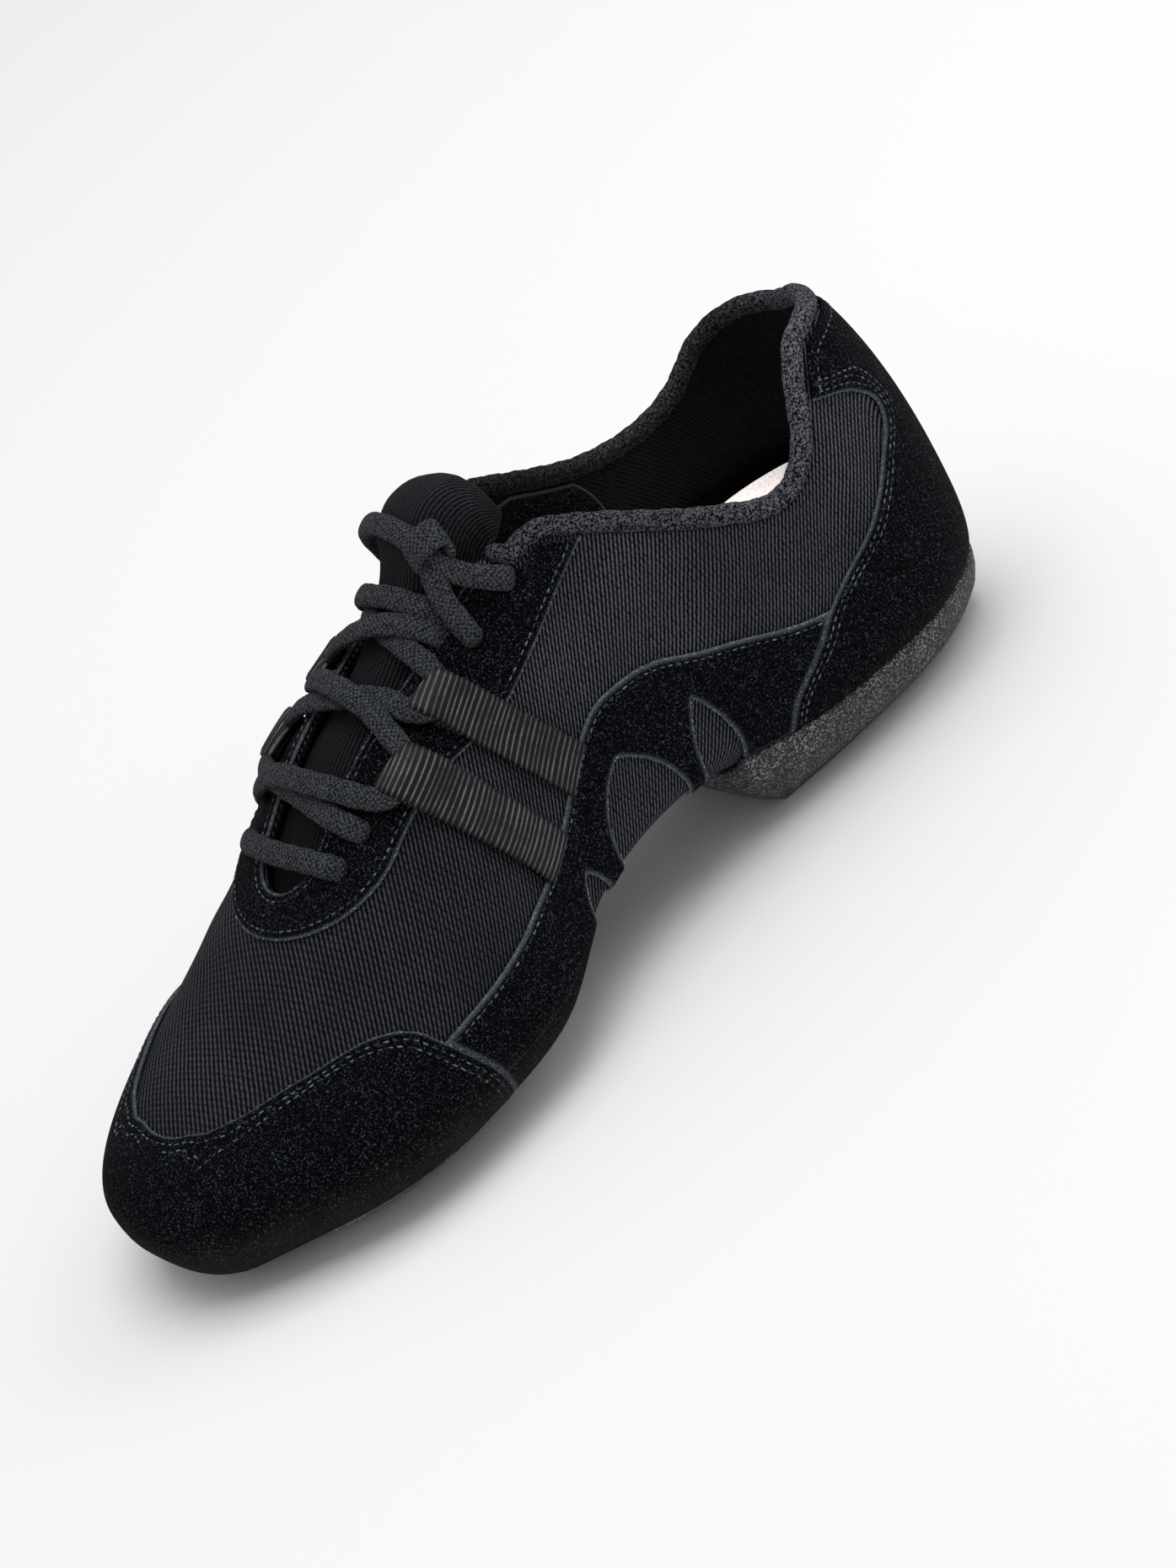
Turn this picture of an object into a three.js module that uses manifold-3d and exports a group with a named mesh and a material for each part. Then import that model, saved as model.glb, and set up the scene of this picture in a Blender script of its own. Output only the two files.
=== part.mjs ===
// Low split-sole jazz shoe for the left foot, standing empty on its heel and forefoot rubber.
// Millimetres, +X to the toe, +Y to the outer side of the foot, +Z up.
// The origin is on the floor, under the middle of the heel.
import * as THREE from 'three';
import { mergeVertices } from 'three/addons/utils/BufferGeometryUtils.js';
import Module from 'manifold-3d';

const wasm = await Module();
wasm.setup();

// Driving sizes of the last
const shoeLength = 264;
const ballWidth = 97.6;
const instepHeight = 94.3;
const heelLift = 11.8;
const heelCentre = 45;

// Thicknesses and clearances
const clearance = 0.3;
const panelGap = 0.4;
const rubberGap = 1.5;
const fabricWall = 1.8;
const suedeThickness = 1.2;
const tapeThickness = 0.9;
const insoleThickness = 3;
const forefootRubber = 3.2;
const rubberLip = 2;
const bindingWidth = 4.6;
const laceWidth = 6.4;
const laceThickness = 2.4;

const tapeWidth = 13;

// Mesh fineness
const stationCount = 27;
const rowCount = 14;
const endCrowding = 0.5;

// Last, by share of the length. Shares of the ball width: centre, lateral, medial.
// Share of the heel lift: under. Shares of the instep height: widest, top.
const lastColumns = ['at', 'centre', 'lateral', 'medial', 'under', 'widest', 'top'];
const lastRows = [
  [0.00, 0.000, 0.345, 0.345, 1.00, 0.404, 1.120],
  [0.13, 0.000, 0.350, 0.350, 1.00, 0.361, 1.200],
  [0.27, -0.010, 0.328, 0.350, 0.85, 0.368, 1.160],
  [0.41, -0.030, 0.300, 0.345, 1.95, 0.340, 1.155],
  [0.53, -0.067, 0.342, 0.384, 1.78, 0.280, 0.990],
  [0.64, -0.071, 0.456, 0.470, 0.61, 0.220, 0.856],
  [0.74, -0.086, 0.484, 0.494, 0.30, 0.200, 0.651],
  [0.84, -0.093, 0.482, 0.493, 0.30, 0.200, 0.484],
  [0.93, -0.109, 0.437, 0.427, 0.33, 0.220, 0.403],
  [1.00, -0.090, 0.398, 0.389, 0.40, 0.240, 0.383],
];

// Shares of the length over which the last closes at its two ends, and how square each close is
const closing = {
  heelWidth: [0.154, 2.1],
  lateralToe: [0.272, 2.2],
  medialToe: [0.267, 2.4],
  heelTop: [0.093, 2.0],
  toeTop: [0.175, 2.3],
  heelUnder: [0.035, 2.0],
  toeUnder: [0.05, 2.0],
};

// Squareness of the sections: along the shoe, of the upper half across and up
const squareColumns = ['at', 'across', 'up'];
const squareRows = [
  [0.00, 2.6, 2.2],
  [0.10, 3.0, 2.2],
  [0.35, 2.8, 2.1],
  [0.50, 2.1, 1.9],
  [0.65, 2.0, 1.9],
  [1.00, 2.1, 2.0],
];
const lowerAcross = 3.4;
const lowerUp = 2.4;

// Collar line seen from the side: share of the length, then shares of the instep height on the
// outer and on the inner side of the foot
const collarColumns = ['at', 'lateral', 'medial'];
const collarRows = [
  [0.010, 0.930, 0.920],
  [0.045, 0.985, 0.915],
  [0.080, 1.000, 0.870],
  [0.107, 0.985, 0.800],
  [0.127, 0.925, 0.772],
  [0.150, 0.820, 0.758],
  [0.172, 0.755, 0.758],
  [0.200, 0.726, 0.770],
  [0.225, 0.735, 0.790],
  [0.255, 0.780, 0.822],
  [0.285, 0.830, 0.868],
  [0.320, 0.897, 0.930],
  [0.360, 0.975, 1.005],
  [0.400, 1.035, 1.050],
  [0.440, 1.045, 1.060],
  [0.480, 1.400, 1.400],
];
const collarBlend = 8;

// Top edge of the side panels seen from the side
const panelTopRows = [
  [0.200, 0.420],
  [0.260, 0.475],
  [0.300, 0.530],
  [0.345, 0.585],
  [0.385, 0.640],
  [0.420, 0.655],
  [0.450, 0.645],
  [0.475, 0.605],
  [0.500, 0.550],
  [0.525, 0.495],
  [0.555, 0.450],
  [0.610, 0.415],
  [0.670, 0.375],
  [0.760, 0.335],
];

// Front edge of the heel counter: share of the instep height, share of the length
const counterRows = [
  [0.100, 0.318],
  [0.220, 0.301],
  [0.300, 0.287],
  [0.380, 0.245],
  [0.445, 0.216],
  [0.480, 0.193],
  [0.520, 0.162],
  [0.580, 0.130],
  [0.650, 0.100],
  [0.700, 0.076],
  [0.750, 0.070],
  [0.800, 0.082],
  [0.840, 0.098],
  [0.890, 0.135],
  [0.940, 0.165],
];

// Rear edge of the toe cap: degrees round the section from the outer side over the top, share of the length
const toeCapRows = [
  [-90, 0.700],
  [-30, 0.706],
  [-10, 0.716],
  [0, 0.724],
  [8, 0.736],
  [16, 0.748],
  [23, 0.760],
  [27, 0.776],
  [30, 0.797],
  [32, 0.822],
  [35, 0.852],
  [38, 0.880],
  [44, 0.905],
  [60, 0.925],
  [90, 0.935],
  [120, 0.930],
  [140, 0.918],
  [150, 0.890],
  [155, 0.850],
  [160, 0.800],
  [170, 0.745],
  [180, 0.722],
  [210, 0.705],
  [270, 0.700],
];

// Upper rim of the heel rubber seen from the side
const heelRimRows = [
  [0.000, 0.165],
  [0.060, 0.175],
  [0.150, 0.190],
  [0.230, 0.200],
  [0.300, 0.225],
  [0.360, 0.262],
];

// Throat and the eyestay round it: front ends, half widths there and at the top, and how far back they go
const throatFront = 0.735 * shoeLength;
const throatRound = 0.102 * ballWidth;
const throatTopHalf = 0.133 * ballWidth;
const throatTop = 0.43 * shoeLength;
const throatBack = 0.35 * shoeLength;
const eyestayFront = 0.768 * shoeLength;
const eyestayRound = 0.272 * ballWidth;
const eyestayTopHalf = 0.228 * ballWidth;
const eyestayBack = 0.30 * shoeLength;

// Lens-shaped notches in the lower edge of each side panel, as seen from the side. Middle as a share
// of the length, then shares of the instep height: middle, half height and half width
const notchColumns = ['at', 'height', 'half', 'sag'];
const notchRows = [
  [0.370, 0.297, 0.201, 0.059],
  [0.457, 0.286, 0.223, 0.127],
  [0.542, 0.233, 0.117, 0.047],
];

// Lower edge of a side panel where it turns under the arch: share of the length, share of the half width
const underEdgeRows = [
  [0.330, 0.80],
  [0.400, 0.90],
  [0.480, 0.90],
  [0.560, 0.84],
  [0.620, 0.70],
  [0.700, 0.55],
];

// Tape loops that hold the lace on each side: share of the length and of the instep height
// where the middle line leaves the throat, its lean toward the heel as it goes down, and how far
// the fold lies outside the throat, as a share of the tape's width
const tapeColumns = ['name', 'at', 'height', 'lean', 'fold'];
const tapeRows = [
  ['upper', 0.549, 0.880, 0.48, 0.40],
  ['lower', 0.621, 0.838, 0.45, 0.66],
];

// Tongue: share of the length, half width as a share of the ball width, then shares of the padding:
// lift of its middle, thickness, and depth of its edges below the inside of the upper.
// The lifted part leans to the inner side of the foot by a share of its lift.
const tonguePadding = 7.5;
const tongueLean = 0.3;
const tongueColumns = ['at', 'half', 'lift', 'thick', 'sink'];
const tongueRows = [
  [0.400, 0.123, 1.20, 0.60, 0.37],
  [0.410, 0.144, 1.55, 0.90, 0.37],
  [0.425, 0.154, 1.80, 1.00, 0.37],
  [0.450, 0.164, 1.75, 1.00, 0.37],
  [0.480, 0.179, 1.10, 0.93, 0.32],
  [0.520, 0.190, 0.60, 0.80, 0.21],
  [0.560, 0.195, 0.29, 0.67, 0.13],
  [0.620, 0.184, 0.13, 0.53, 0.11],
  [0.680, 0.164, 0.08, 0.47, 0.11],
  [0.720, 0.133, 0.03, 0.40, 0.11],
  [0.752, 0.092, 0.00, 0.32, 0.11],
];

// Lace strands over the tongue, each through places [share of the length, side, height]:
// side is 1 a fixed inset outside the throat and -1 the same on the inner side, and height, in lace
// thicknesses, is that of the middle above the last
const strands = {
  lace_bar_front: [
    [[0.702, 1.06, 1.29], [0.706, 0.55, 1.25], [0.708, 0, 0.79], [0.706, -0.55, 1.25], [0.702, -1.06, 1.29]],
  ],
  lace_crossing_lower: [
    [[0.646, 1.18, 1.33], [0.653, 0.75, 1.4], [0.657, 0.05, 1.5], [0.657, -0.55, 1.4], [0.660, -1.14, 1.33]],
    [[0.668, 1.16, 1.33], [0.670, 0.65, 1.3], [0.668, 0.05, 1.1], [0.660, -0.65, 1.3], [0.650, -1.12, 1.33]],
  ],
  lace_crossing_middle: [
    [[0.601, 1.08, 1.33], [0.593, 0.7, 1.4], [0.586, 0.1, 1.4], [0.582, -0.4, 1.5], [0.577, -0.84, 1.33]],
    [[0.601, -1.08, 1.33], [0.594, -0.6, 1.4], [0.590, 0, 1.4], [0.580, 0.4, 1.5], [0.575, 0.84, 1.33]],
  ],
  lace_crossing_upper: [
    [[0.548, -0.84, 1.5], [0.543, -0.55, 1.75], [0.535, -0.2, 1.9], [0.525, 0.14, 1.95], [0.516, 0.46, 1.95]],
    [[0.534, 0.84, 1.5], [0.533, 0.35, 1.75], [0.522, -0.2, 1.8], [0.512, -0.55, 1.8], [0.508, -0.75, 1.6]],
    [[0.500, -0.9, 1.6], [0.503, -0.5, 1.9], [0.504, 0, 2.05], [0.502, 0.4, 2.05]],
  ],
};

// Knot of the lace and its runs into the top eyelets, placed like the strands
const knotPlace = [0.459, 0.38, 2.95];
const knotSize = [1.95 * laceWidth, 1.6 * laceWidth, 1.09 * laceWidth];
const knotRuns = {
  lace_run_lateral_top: [[0.460, 0.86, 2.9], [0.450, 0.95, 2.1], [0.439, 1.0, 1.33]],
  lace_run_lateral_low: [[0.484, 0.60, 2.9], [0.489, 0.82, 2.0], [0.491, 1.0, 1.33]],
  lace_run_medial_top: [[0.456, -0.04, 4.3], [0.453, -0.5, 4.6], [0.447, -0.95, 3.3], [0.440, -1.25, 1.6]],
};

const colours = {
  fabric: [0x2b2d31, 0.9],
  suede: [0x16181c, 0.95],
  binding: [0x26282c, 0.95],
  tongue: [0x2a2c30, 0.92],
  insole: [0xd9cfcb, 0.85],
  rubber: [0x2f3136, 0.7],
  tape: [0x3a3c41, 0.75],
  lace: [0x33353a, 0.85],
};

const toRadians = Math.PI / 180;

// Smooth curve through rows of [place, value, ...], one value column
function through(rows, column = 1) {
  const places = rows.map((row) => row[0]);
  const values = rows.map((row) => row[column]);
  const last = places.length - 1;
  const slope = [];
  for (let i = 0; i < last; i += 1) {
    slope.push((values[i + 1] - values[i]) / (places[i + 1] - places[i]));
  }
  const tangent = [slope[0]];
  for (let i = 1; i < last; i += 1) {
    const before = places[i] - places[i - 1];
    const after = places[i + 1] - places[i];
    tangent.push((slope[i - 1] * after + slope[i] * before) / (before + after));
  }
  tangent.push(slope[last - 1]);
  return (place) => {
    let i = 0;
    while (i < last - 1 && place > places[i + 1]) {
      i += 1;
    }
    const span = places[i + 1] - places[i];
    const t = THREE.MathUtils.clamp((place - places[i]) / span, 0, 1);
    const t2 = t * t;
    const t3 = t2 * t;
    return (2 * t3 - 3 * t2 + 1) * values[i]
      + (t3 - 2 * t2 + t) * span * tangent[i]
      + (3 * t2 - 2 * t3) * values[i + 1]
      + (t3 - t2) * span * tangent[i + 1];
  };
}

// Straight lines between rows
function between(rows, column) {
  return (place) => {
    let i = 0;
    while (i < rows.length - 2 && place > rows[i + 1][0]) {
      i += 1;
    }
    const t = (place - rows[i][0]) / (rows[i + 1][0] - rows[i][0]);
    return THREE.MathUtils.lerp(rows[i][column], rows[i + 1][column], THREE.MathUtils.clamp(t, 0, 1));
  };
}

const last = Object.fromEntries(
  lastColumns.map((name, column) => [name, through(lastRows, Math.max(column, 1))]),
);
const square = Object.fromEntries(
  squareColumns.map((name, column) => [name, between(squareRows, Math.max(column, 1))]),
);

// One at mid-shoe, falling to nought at the heel or the toe
function closeAt(share, [reach, power], atToe) {
  const inside = atToe ? 1 - share : share;
  const s = THREE.MathUtils.clamp((reach - inside) / reach, 0, 1);
  return Math.pow(Math.max(1 - Math.pow(s, power), 0), 1 / power);
}

// Sizes of the section at a share of the length, on one side of the foot
function sectionAt(share, side) {
  const half = (side > 0 ? last.lateral : last.medial)(share) * ballWidth;
  const toe = side > 0 ? closing.lateralToe : closing.medialToe;
  const widest = last.widest(share) * instepHeight;
  const rise = last.top(share) * instepHeight - widest;
  const drop = widest - last.under(share) * heelLift;
  return {
    middle: last.centre(share) * ballWidth,
    half: half * closeAt(share, closing.heelWidth, false) * closeAt(share, toe, true),
    widest,
    rise: rise * closeAt(share, closing.heelTop, false) * closeAt(share, closing.toeTop, true),
    drop: drop * closeAt(share, closing.heelUnder, false) * closeAt(share, closing.toeUnder, true),
    across: square.across(share),
    up: square.up(share),
  };
}

// Half a section from the bottom centre round to the crest, as points [y, z] at even steps
function halfSection(share, side) {
  const s = sectionAt(share, side);
  const fine = 60;
  const outline = [];
  for (let i = 0; i <= fine; i += 1) {
    const a = (i / fine) * 90 * toRadians;
    outline.push([
      s.half * Math.pow(Math.sin(a), 2 / lowerAcross),
      s.widest - s.drop * Math.pow(Math.max(Math.cos(a), 0), 2 / lowerUp),
    ]);
  }
  for (let i = 1; i <= fine; i += 1) {
    const a = (i / fine) * 90 * toRadians;
    outline.push([
      s.half * Math.pow(Math.max(Math.cos(a), 0), 2 / s.across),
      s.widest + s.rise * Math.pow(Math.sin(a), 2 / s.up),
    ]);
  }
  const run = [0];
  for (let i = 1; i < outline.length; i += 1) {
    const step = Math.hypot(outline[i][0] - outline[i - 1][0], outline[i][1] - outline[i - 1][1]);
    run.push(run[i - 1] + step);
  }
  const lowerRows = Math.round(rowCount * 0.42);
  const points = [];
  let k = 0;
  for (let row = 0; row <= rowCount; row += 1) {
    const goal = row <= lowerRows
      ? run[fine] * row / lowerRows
      : run[fine] + (run[2 * fine] - run[fine]) * (row - lowerRows) / (rowCount - lowerRows);
    while (k < run.length - 2 && run[k + 1] < goal) {
      k += 1;
    }
    const t = THREE.MathUtils.clamp((goal - run[k]) / Math.max(run[k + 1] - run[k], 1e-9), 0, 1);
    points.push([
      s.middle + side * THREE.MathUtils.lerp(outline[k][0], outline[k + 1][0], t),
      THREE.MathUtils.lerp(outline[k][1], outline[k + 1][1], t),
    ]);
  }
  return points;
}

// The closed surface of the last as one mesh: points, outward normals and triangles.
// Each point also knows if it lies on the upper half of its section.
function lastSurface() {
  const points = [];
  const above = [];
  const triangles = [];
  const ring = [];
  const around = 2 * rowCount;
  for (let i = 0; i <= stationCount; i += 1) {
    const even = i / stationCount;
    const share = endCrowding * (0.5 - 0.5 * Math.cos(Math.PI * even)) + (1 - endCrowding) * even;
    const outer = halfSection(share, 1);
    const inner = halfSection(share, -1);
    const loop = outer.concat(inner.slice(1, -1).reverse());
    const atPole = i === 0 || i === stationCount;
    const base = points.length;
    ring.push(atPole ? [base] : loop.map((_, k) => base + k));
    const s = sectionAt(share, 1);
    for (const [y, z] of atPole ? loop.slice(0, 1) : loop) {
      points.push(new THREE.Vector3(share * shoeLength, y, atPole ? s.widest : z));
      above.push(z > s.widest - 0.001);
    }
  }
  for (let i = 0; i < stationCount; i += 1) {
    for (let k = 0; k < around; k += 1) {
      const next = (k + 1) % around;
      const a = ring[i][ring[i].length > 1 ? k : 0];
      const b = ring[i][ring[i].length > 1 ? next : 0];
      const c = ring[i + 1][ring[i + 1].length > 1 ? next : 0];
      const d = ring[i + 1][ring[i + 1].length > 1 ? k : 0];
      if (a !== b) {
        triangles.push([a, b, c]);
      }
      if (c !== d) {
        triangles.push([a, c, d]);
      }
    }
  }
  const normals = points.map(() => new THREE.Vector3());
  const side = new THREE.Vector3();
  const other = new THREE.Vector3();
  for (const [a, b, c] of triangles) {
    side.subVectors(points[b], points[a]);
    other.subVectors(points[c], points[a]);
    side.cross(other);
    for (const i of [a, b, c]) {
      normals[i].add(side);
    }
  }
  normals.forEach((normal) => normal.normalize());
  return { points, normals, above, triangles };
}

const surface = lastSurface();

// A field gives each point of the surface its distance from a line drawn on the shoe, with a sign.
// The raw measure is divided by its own slope on the surface, which makes it a distance.
function field(measure) {
  const raw = surface.points.map((p, i) => measure(p, i));
  const slope = surface.points.map(() => 0);
  const weight = surface.points.map(() => 0);
  const e1 = new THREE.Vector3();
  const e2 = new THREE.Vector3();
  for (const [a, b, c] of surface.triangles) {
    e1.subVectors(surface.points[b], surface.points[a]);
    e2.subVectors(surface.points[c], surface.points[a]);
    const g11 = e1.dot(e1);
    const g12 = e1.dot(e2);
    const g22 = e2.dot(e2);
    const determinant = g11 * g22 - g12 * g12;
    if (determinant < 1e-6) {
      continue;
    }
    const d1 = raw[b] - raw[a];
    const d2 = raw[c] - raw[a];
    const steepness = Math.sqrt(Math.max((g22 * d1 * d1 - 2 * g12 * d1 * d2 + g11 * d2 * d2) / determinant, 0));
    const area = Math.sqrt(determinant);
    for (const i of [a, b, c]) {
      slope[i] += steepness * area;
      weight[i] += area;
    }
  }
  return raw.map((value, i) => value / Math.max(slope[i] / Math.max(weight[i], 1e-9), 0.2));
}

const shareOf = (p) => p.x / shoeLength;
const middleAt = (x) => last.centre(x / shoeLength) * ballWidth;
const degreesRound = (p) => {
  const middle = middleAt(p.x);
  const centreHeight = 0.22 * instepHeight;
  const angle = Math.atan2(p.z - centreHeight, p.y - middle) / toRadians;
  return angle < -90 ? angle + 360 : angle;
};

// Lines of the shoe as measures, positive inside the named region
const collarLateral = through(collarRows, collarColumns.indexOf('lateral'));
const collarMedial = through(collarRows, collarColumns.indexOf('medial'));
const panelTopLine = through(panelTopRows);
const counterLine = through(counterRows);
const toeCapLine = through(toeCapRows);
const heelRimLine = through(heelRimRows);
const underEdgeLine = through(underEdgeRows);
const far = 40;

const collarHeight = (p) => {
  const outer = THREE.MathUtils.smoothstep(p.y - middleAt(p.x), -collarBlend, collarBlend);
  const share = THREE.MathUtils.lerp(collarMedial(shareOf(p)), collarLateral(shareOf(p)), outer);
  return share * instepHeight;
};
const belowCollar = field((p) => (p.x > throatTop + 14 ? far : collarHeight(p) - p.z));
const inFrontOfCounter = field((p) => p.x - counterLine(p.z / instepHeight) * shoeLength);
const inToeCap = field((p) => p.x - toeCapLine(degreesRound(p)) * shoeLength);
const belowPanelTop = field((p) => panelTopLine(shareOf(p)) * instepHeight - p.z);
const onLateral = field((p) => p.y - middleAt(p.x));

// Distance inside a round-ended slot that widens toward the ankle and ends above the collar
function slot(p, front, round, topHalf, back) {
  const half = THREE.MathUtils.mapLinear(Math.min(p.x, front - round), front - round, throatTop, round, topHalf);
  const out = p.y - middleAt(p.x);
  if (p.x > front - round) {
    return round - Math.hypot(p.x - (front - round), out);
  }
  return Math.min(half - Math.abs(out), p.x - back);
}
const inThroat = field((p, i) => (
  surface.above[i] ? slot(p, throatFront, throatRound, throatTopHalf, throatBack) : -far
));
const inEyestay = field((p, i) => (
  surface.above[i] ? slot(p, eyestayFront, eyestayRound, eyestayTopHalf, eyestayBack) : -far
));

// Distance inside an oval seen from below
function oval(p, i, centre, length, width, squareness) {
  if (surface.above[i]) {
    return -far;
  }
  const u = Math.abs(p.x - centre) / length;
  const v = Math.abs(p.y - middleAt(p.x)) / width;
  const radius = Math.pow(Math.pow(u, squareness) + Math.pow(v, squareness), 1 / squareness);
  return (1 - radius) * Math.min(length, width);
}
const treadCentre = 0.757 * shoeLength;
const treadLength = 0.172 * shoeLength;
const treadWidth = 0.392 * ballWidth;
const inTread = field((p, i) => oval(p, i, treadCentre, treadLength, treadWidth, 2.5));
const openingMargin = 9;
const inForefootOpening = field((p, i) => (
  oval(p, i, treadCentre, treadLength - openingMargin, treadWidth - openingMargin, 2.3)
));
const heelOpeningLength = 0.095 * shoeLength;
const heelOpeningWidth = 0.17 * ballWidth;
const inHeelOpening = field((p, i) => oval(p, i, heelCentre, heelOpeningLength, heelOpeningWidth, 2.2));
const wedgeFront = 0.352 * shoeLength;
const belowHeelRim = field((p, i) => (
  surface.above[i] ? -far : heelRimLine(shareOf(p)) * instepHeight - p.z
));
const behindWedgeFront = field((p) => wedgeFront - p.x);

const outsideUnderEdge = field((p, i) => {
  if (surface.above[i]) {
    return far;
  }
  const s = sectionAt(shareOf(p), p.y > middleAt(p.x) ? 1 : -1);
  return Math.abs(p.y - middleAt(p.x)) - underEdgeLine(shareOf(p)) * s.half;
});

// Cuts the surface along every given line, then keeps the triangles whose values pass
function cut(lines, keep) {
  const points = surface.points.map((p) => p.clone());
  const normals = surface.normals.map((n) => n.clone());
  const snap = 0.05;
  const values = lines.map((line) => line.map((v) => (Math.abs(v) < snap ? 0 : v)));
  let triangles = surface.triangles;
  values.forEach((value) => {
    const made = new Map();
    const crossing = (a, b) => {
      const key = a < b ? `${a}_${b}` : `${b}_${a}`;
      if (!made.has(key)) {
        const t = value[a] / (value[a] - value[b]);
        made.set(key, points.length);
        points.push(points[a].clone().lerp(points[b], t));
        normals.push(normals[a].clone().lerp(normals[b], t));
        values.forEach((other) => {
          other.push(other === value ? 0 : other[a] + (other[b] - other[a]) * t);
        });
      }
      return made.get(key);
    };
    const next = [];
    for (const triangle of triangles) {
      const signs = triangle.map((i) => Math.sign(value[i]));
      const up = signs.filter((s) => s > 0).length;
      const down = signs.filter((s) => s < 0).length;
      if (up === 0 || down === 0) {
        next.push(triangle);
        continue;
      }
      let turn = 0;
      if (up === 1 && down === 1) {
        turn = signs.indexOf(0);
      } else {
        turn = signs.indexOf(up === 1 ? 1 : -1);
      }
      const [a, b, c] = [0, 1, 2].map((k) => triangle[(k + turn) % 3]);
      if (up === 1 && down === 1) {
        const m = crossing(b, c);
        next.push([a, b, m], [a, m, c]);
      } else {
        const ab = crossing(a, b);
        const ac = crossing(a, c);
        next.push([a, ab, ac], [ab, b, c], [ab, c, ac]);
      }
    }
    triangles = next;
  });
  const kept = triangles.filter((triangle) => {
    const middle = values.map((value) => (value[triangle[0]] + value[triangle[1]] + value[triangle[2]]) / 3);
    return keep(...middle);
  });
  return { points, normals, values, triangles: largestPiece(kept) };
}

// The largest group of triangles that share edges
function largestPiece(triangles) {
  const byEdge = new Map();
  triangles.forEach((triangle, t) => {
    for (let k = 0; k < 3; k += 1) {
      const [a, b] = [triangle[k], triangle[(k + 1) % 3]];
      const key = a < b ? `${a}_${b}` : `${b}_${a}`;
      byEdge.set(key, (byEdge.get(key) ?? []).concat(t));
    }
  });
  const group = triangles.map(() => -1);
  const sizes = [];
  for (let start = 0; start < triangles.length; start += 1) {
    if (group[start] >= 0) {
      continue;
    }
    const queue = [start];
    group[start] = sizes.length;
    let size = 0;
    while (queue.length) {
      const t = queue.pop();
      size += 1;
      for (let k = 0; k < 3; k += 1) {
        const [a, b] = [triangles[t][k], triangles[t][(k + 1) % 3]];
        const key = a < b ? `${a}_${b}` : `${b}_${a}`;
        for (const other of byEdge.get(key)) {
          if (group[other] < 0) {
            group[other] = sizes.length;
            queue.push(other);
          }
        }
      }
    }
    sizes.push(size);
  }
  const biggest = sizes.indexOf(Math.max(...sizes));
  return triangles.filter((_, t) => group[t] === biggest);
}

// A closed solid between two surfaces over the same patch, joined round its edges.
// Each surface is a function of (point, normal, index); rims are extra rows between them at the edges.
function sandwich(patch, outer, inner, rims = []) {
  const levels = [outer, ...rims, inner];
  const boundary = new Map();
  patch.triangles.forEach((triangle) => {
    for (let k = 0; k < 3; k += 1) {
      const [a, b] = [triangle[k], triangle[(k + 1) % 3]];
      if (boundary.has(`${b}_${a}`)) {
        boundary.delete(`${b}_${a}`);
      } else {
        boundary.set(`${a}_${b}`, [a, b]);
      }
    }
  });
  const edges = [...boundary.values()];
  const outward = new Map();
  const addOutward = (i, direction) => {
    outward.set(i, (outward.get(i) ?? new THREE.Vector3()).add(direction));
  };
  for (const [a, b] of edges) {
    const along = patch.points[b].clone().sub(patch.points[a]).normalize();
    const normal = patch.normals[a].clone().add(patch.normals[b]).normalize();
    const away = along.cross(normal);
    addOutward(a, away);
    addOutward(b, away);
  }
  outward.forEach((direction) => direction.normalize());
  const positions = [];
  const place = levels.map(() => new Map());
  const index = [];
  const at = (level, i) => {
    if (!place[level].has(i)) {
      const p = levels[level](patch.points[i], patch.normals[i], i, outward.get(i));
      place[level].set(i, positions.length / 3);
      positions.push(p.x, p.y, p.z);
    }
    return place[level].get(i);
  };
  const bottom = levels.length - 1;
  for (const [a, b, c] of patch.triangles) {
    index.push(at(0, a), at(0, b), at(0, c));
    index.push(at(bottom, c), at(bottom, b), at(bottom, a));
  }
  for (const [a, b] of edges) {
    for (let level = 0; level < bottom; level += 1) {
      index.push(at(level, b), at(level, a), at(level + 1, a));
      index.push(at(level, b), at(level + 1, a), at(level + 1, b));
    }
  }
  return solid(positions, index);
}

function solid(positions, index) {
  const geometry = new THREE.BufferGeometry();
  geometry.setAttribute('position', new THREE.Float32BufferAttribute(positions, 3));
  geometry.setIndex(index);
  return geometry;
}

const offset = (distance) => (p, n) => p.clone().addScaledVector(n, distance);

const root = new THREE.Group();
root.position.x = -heelCentre;

function add(name, geometry, finish) {
  const [colour, roughness] = colours[finish];
  const material = new THREE.MeshStandardMaterial({ color: colour, roughness, metalness: 0 });
  material.name = finish;
  const mesh = new THREE.Mesh(geometry, material);
  mesh.name = name;
  root.add(mesh);
}

// Upper: one fabric wall, open at the collar and throat, and underneath over both rubber soles
const upperPatch = cut(
  [belowCollar, inThroat, inForefootOpening, inHeelOpening],
  (collar, throat, forefoot, heel) => collar > 0 && throat < 0 && forefoot < 0 && heel < 0,
);
add('upper', sandwich(upperPatch, offset(0), offset(-fabricWall)), 'fabric');

// Suede overlays lie a clearance off the fabric and meet each other with a panel gap
const overlayOuter = offset(clearance + suedeThickness);
const overlayInner = offset(clearance);
const halfGap = panelGap / 2;

const shifted = (values, amount) => values.map((v) => v + amount);
add('toe_cap', sandwich(
  cut([shifted(inToeCap, -halfGap), shifted(inTread, halfGap)], (toe, tread) => toe > 0 && tread < 0),
  overlayOuter,
  overlayInner,
), 'suede');

add('heel_counter', sandwich(
  cut(
    [shifted(inFrontOfCounter, halfGap), shifted(belowCollar, -1), shifted(belowHeelRim, rubberGap)],
    (front, collar, rim) => front < 0 && collar > 0 && rim < 0,
  ),
  overlayOuter,
  overlayInner,
), 'suede');

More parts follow.
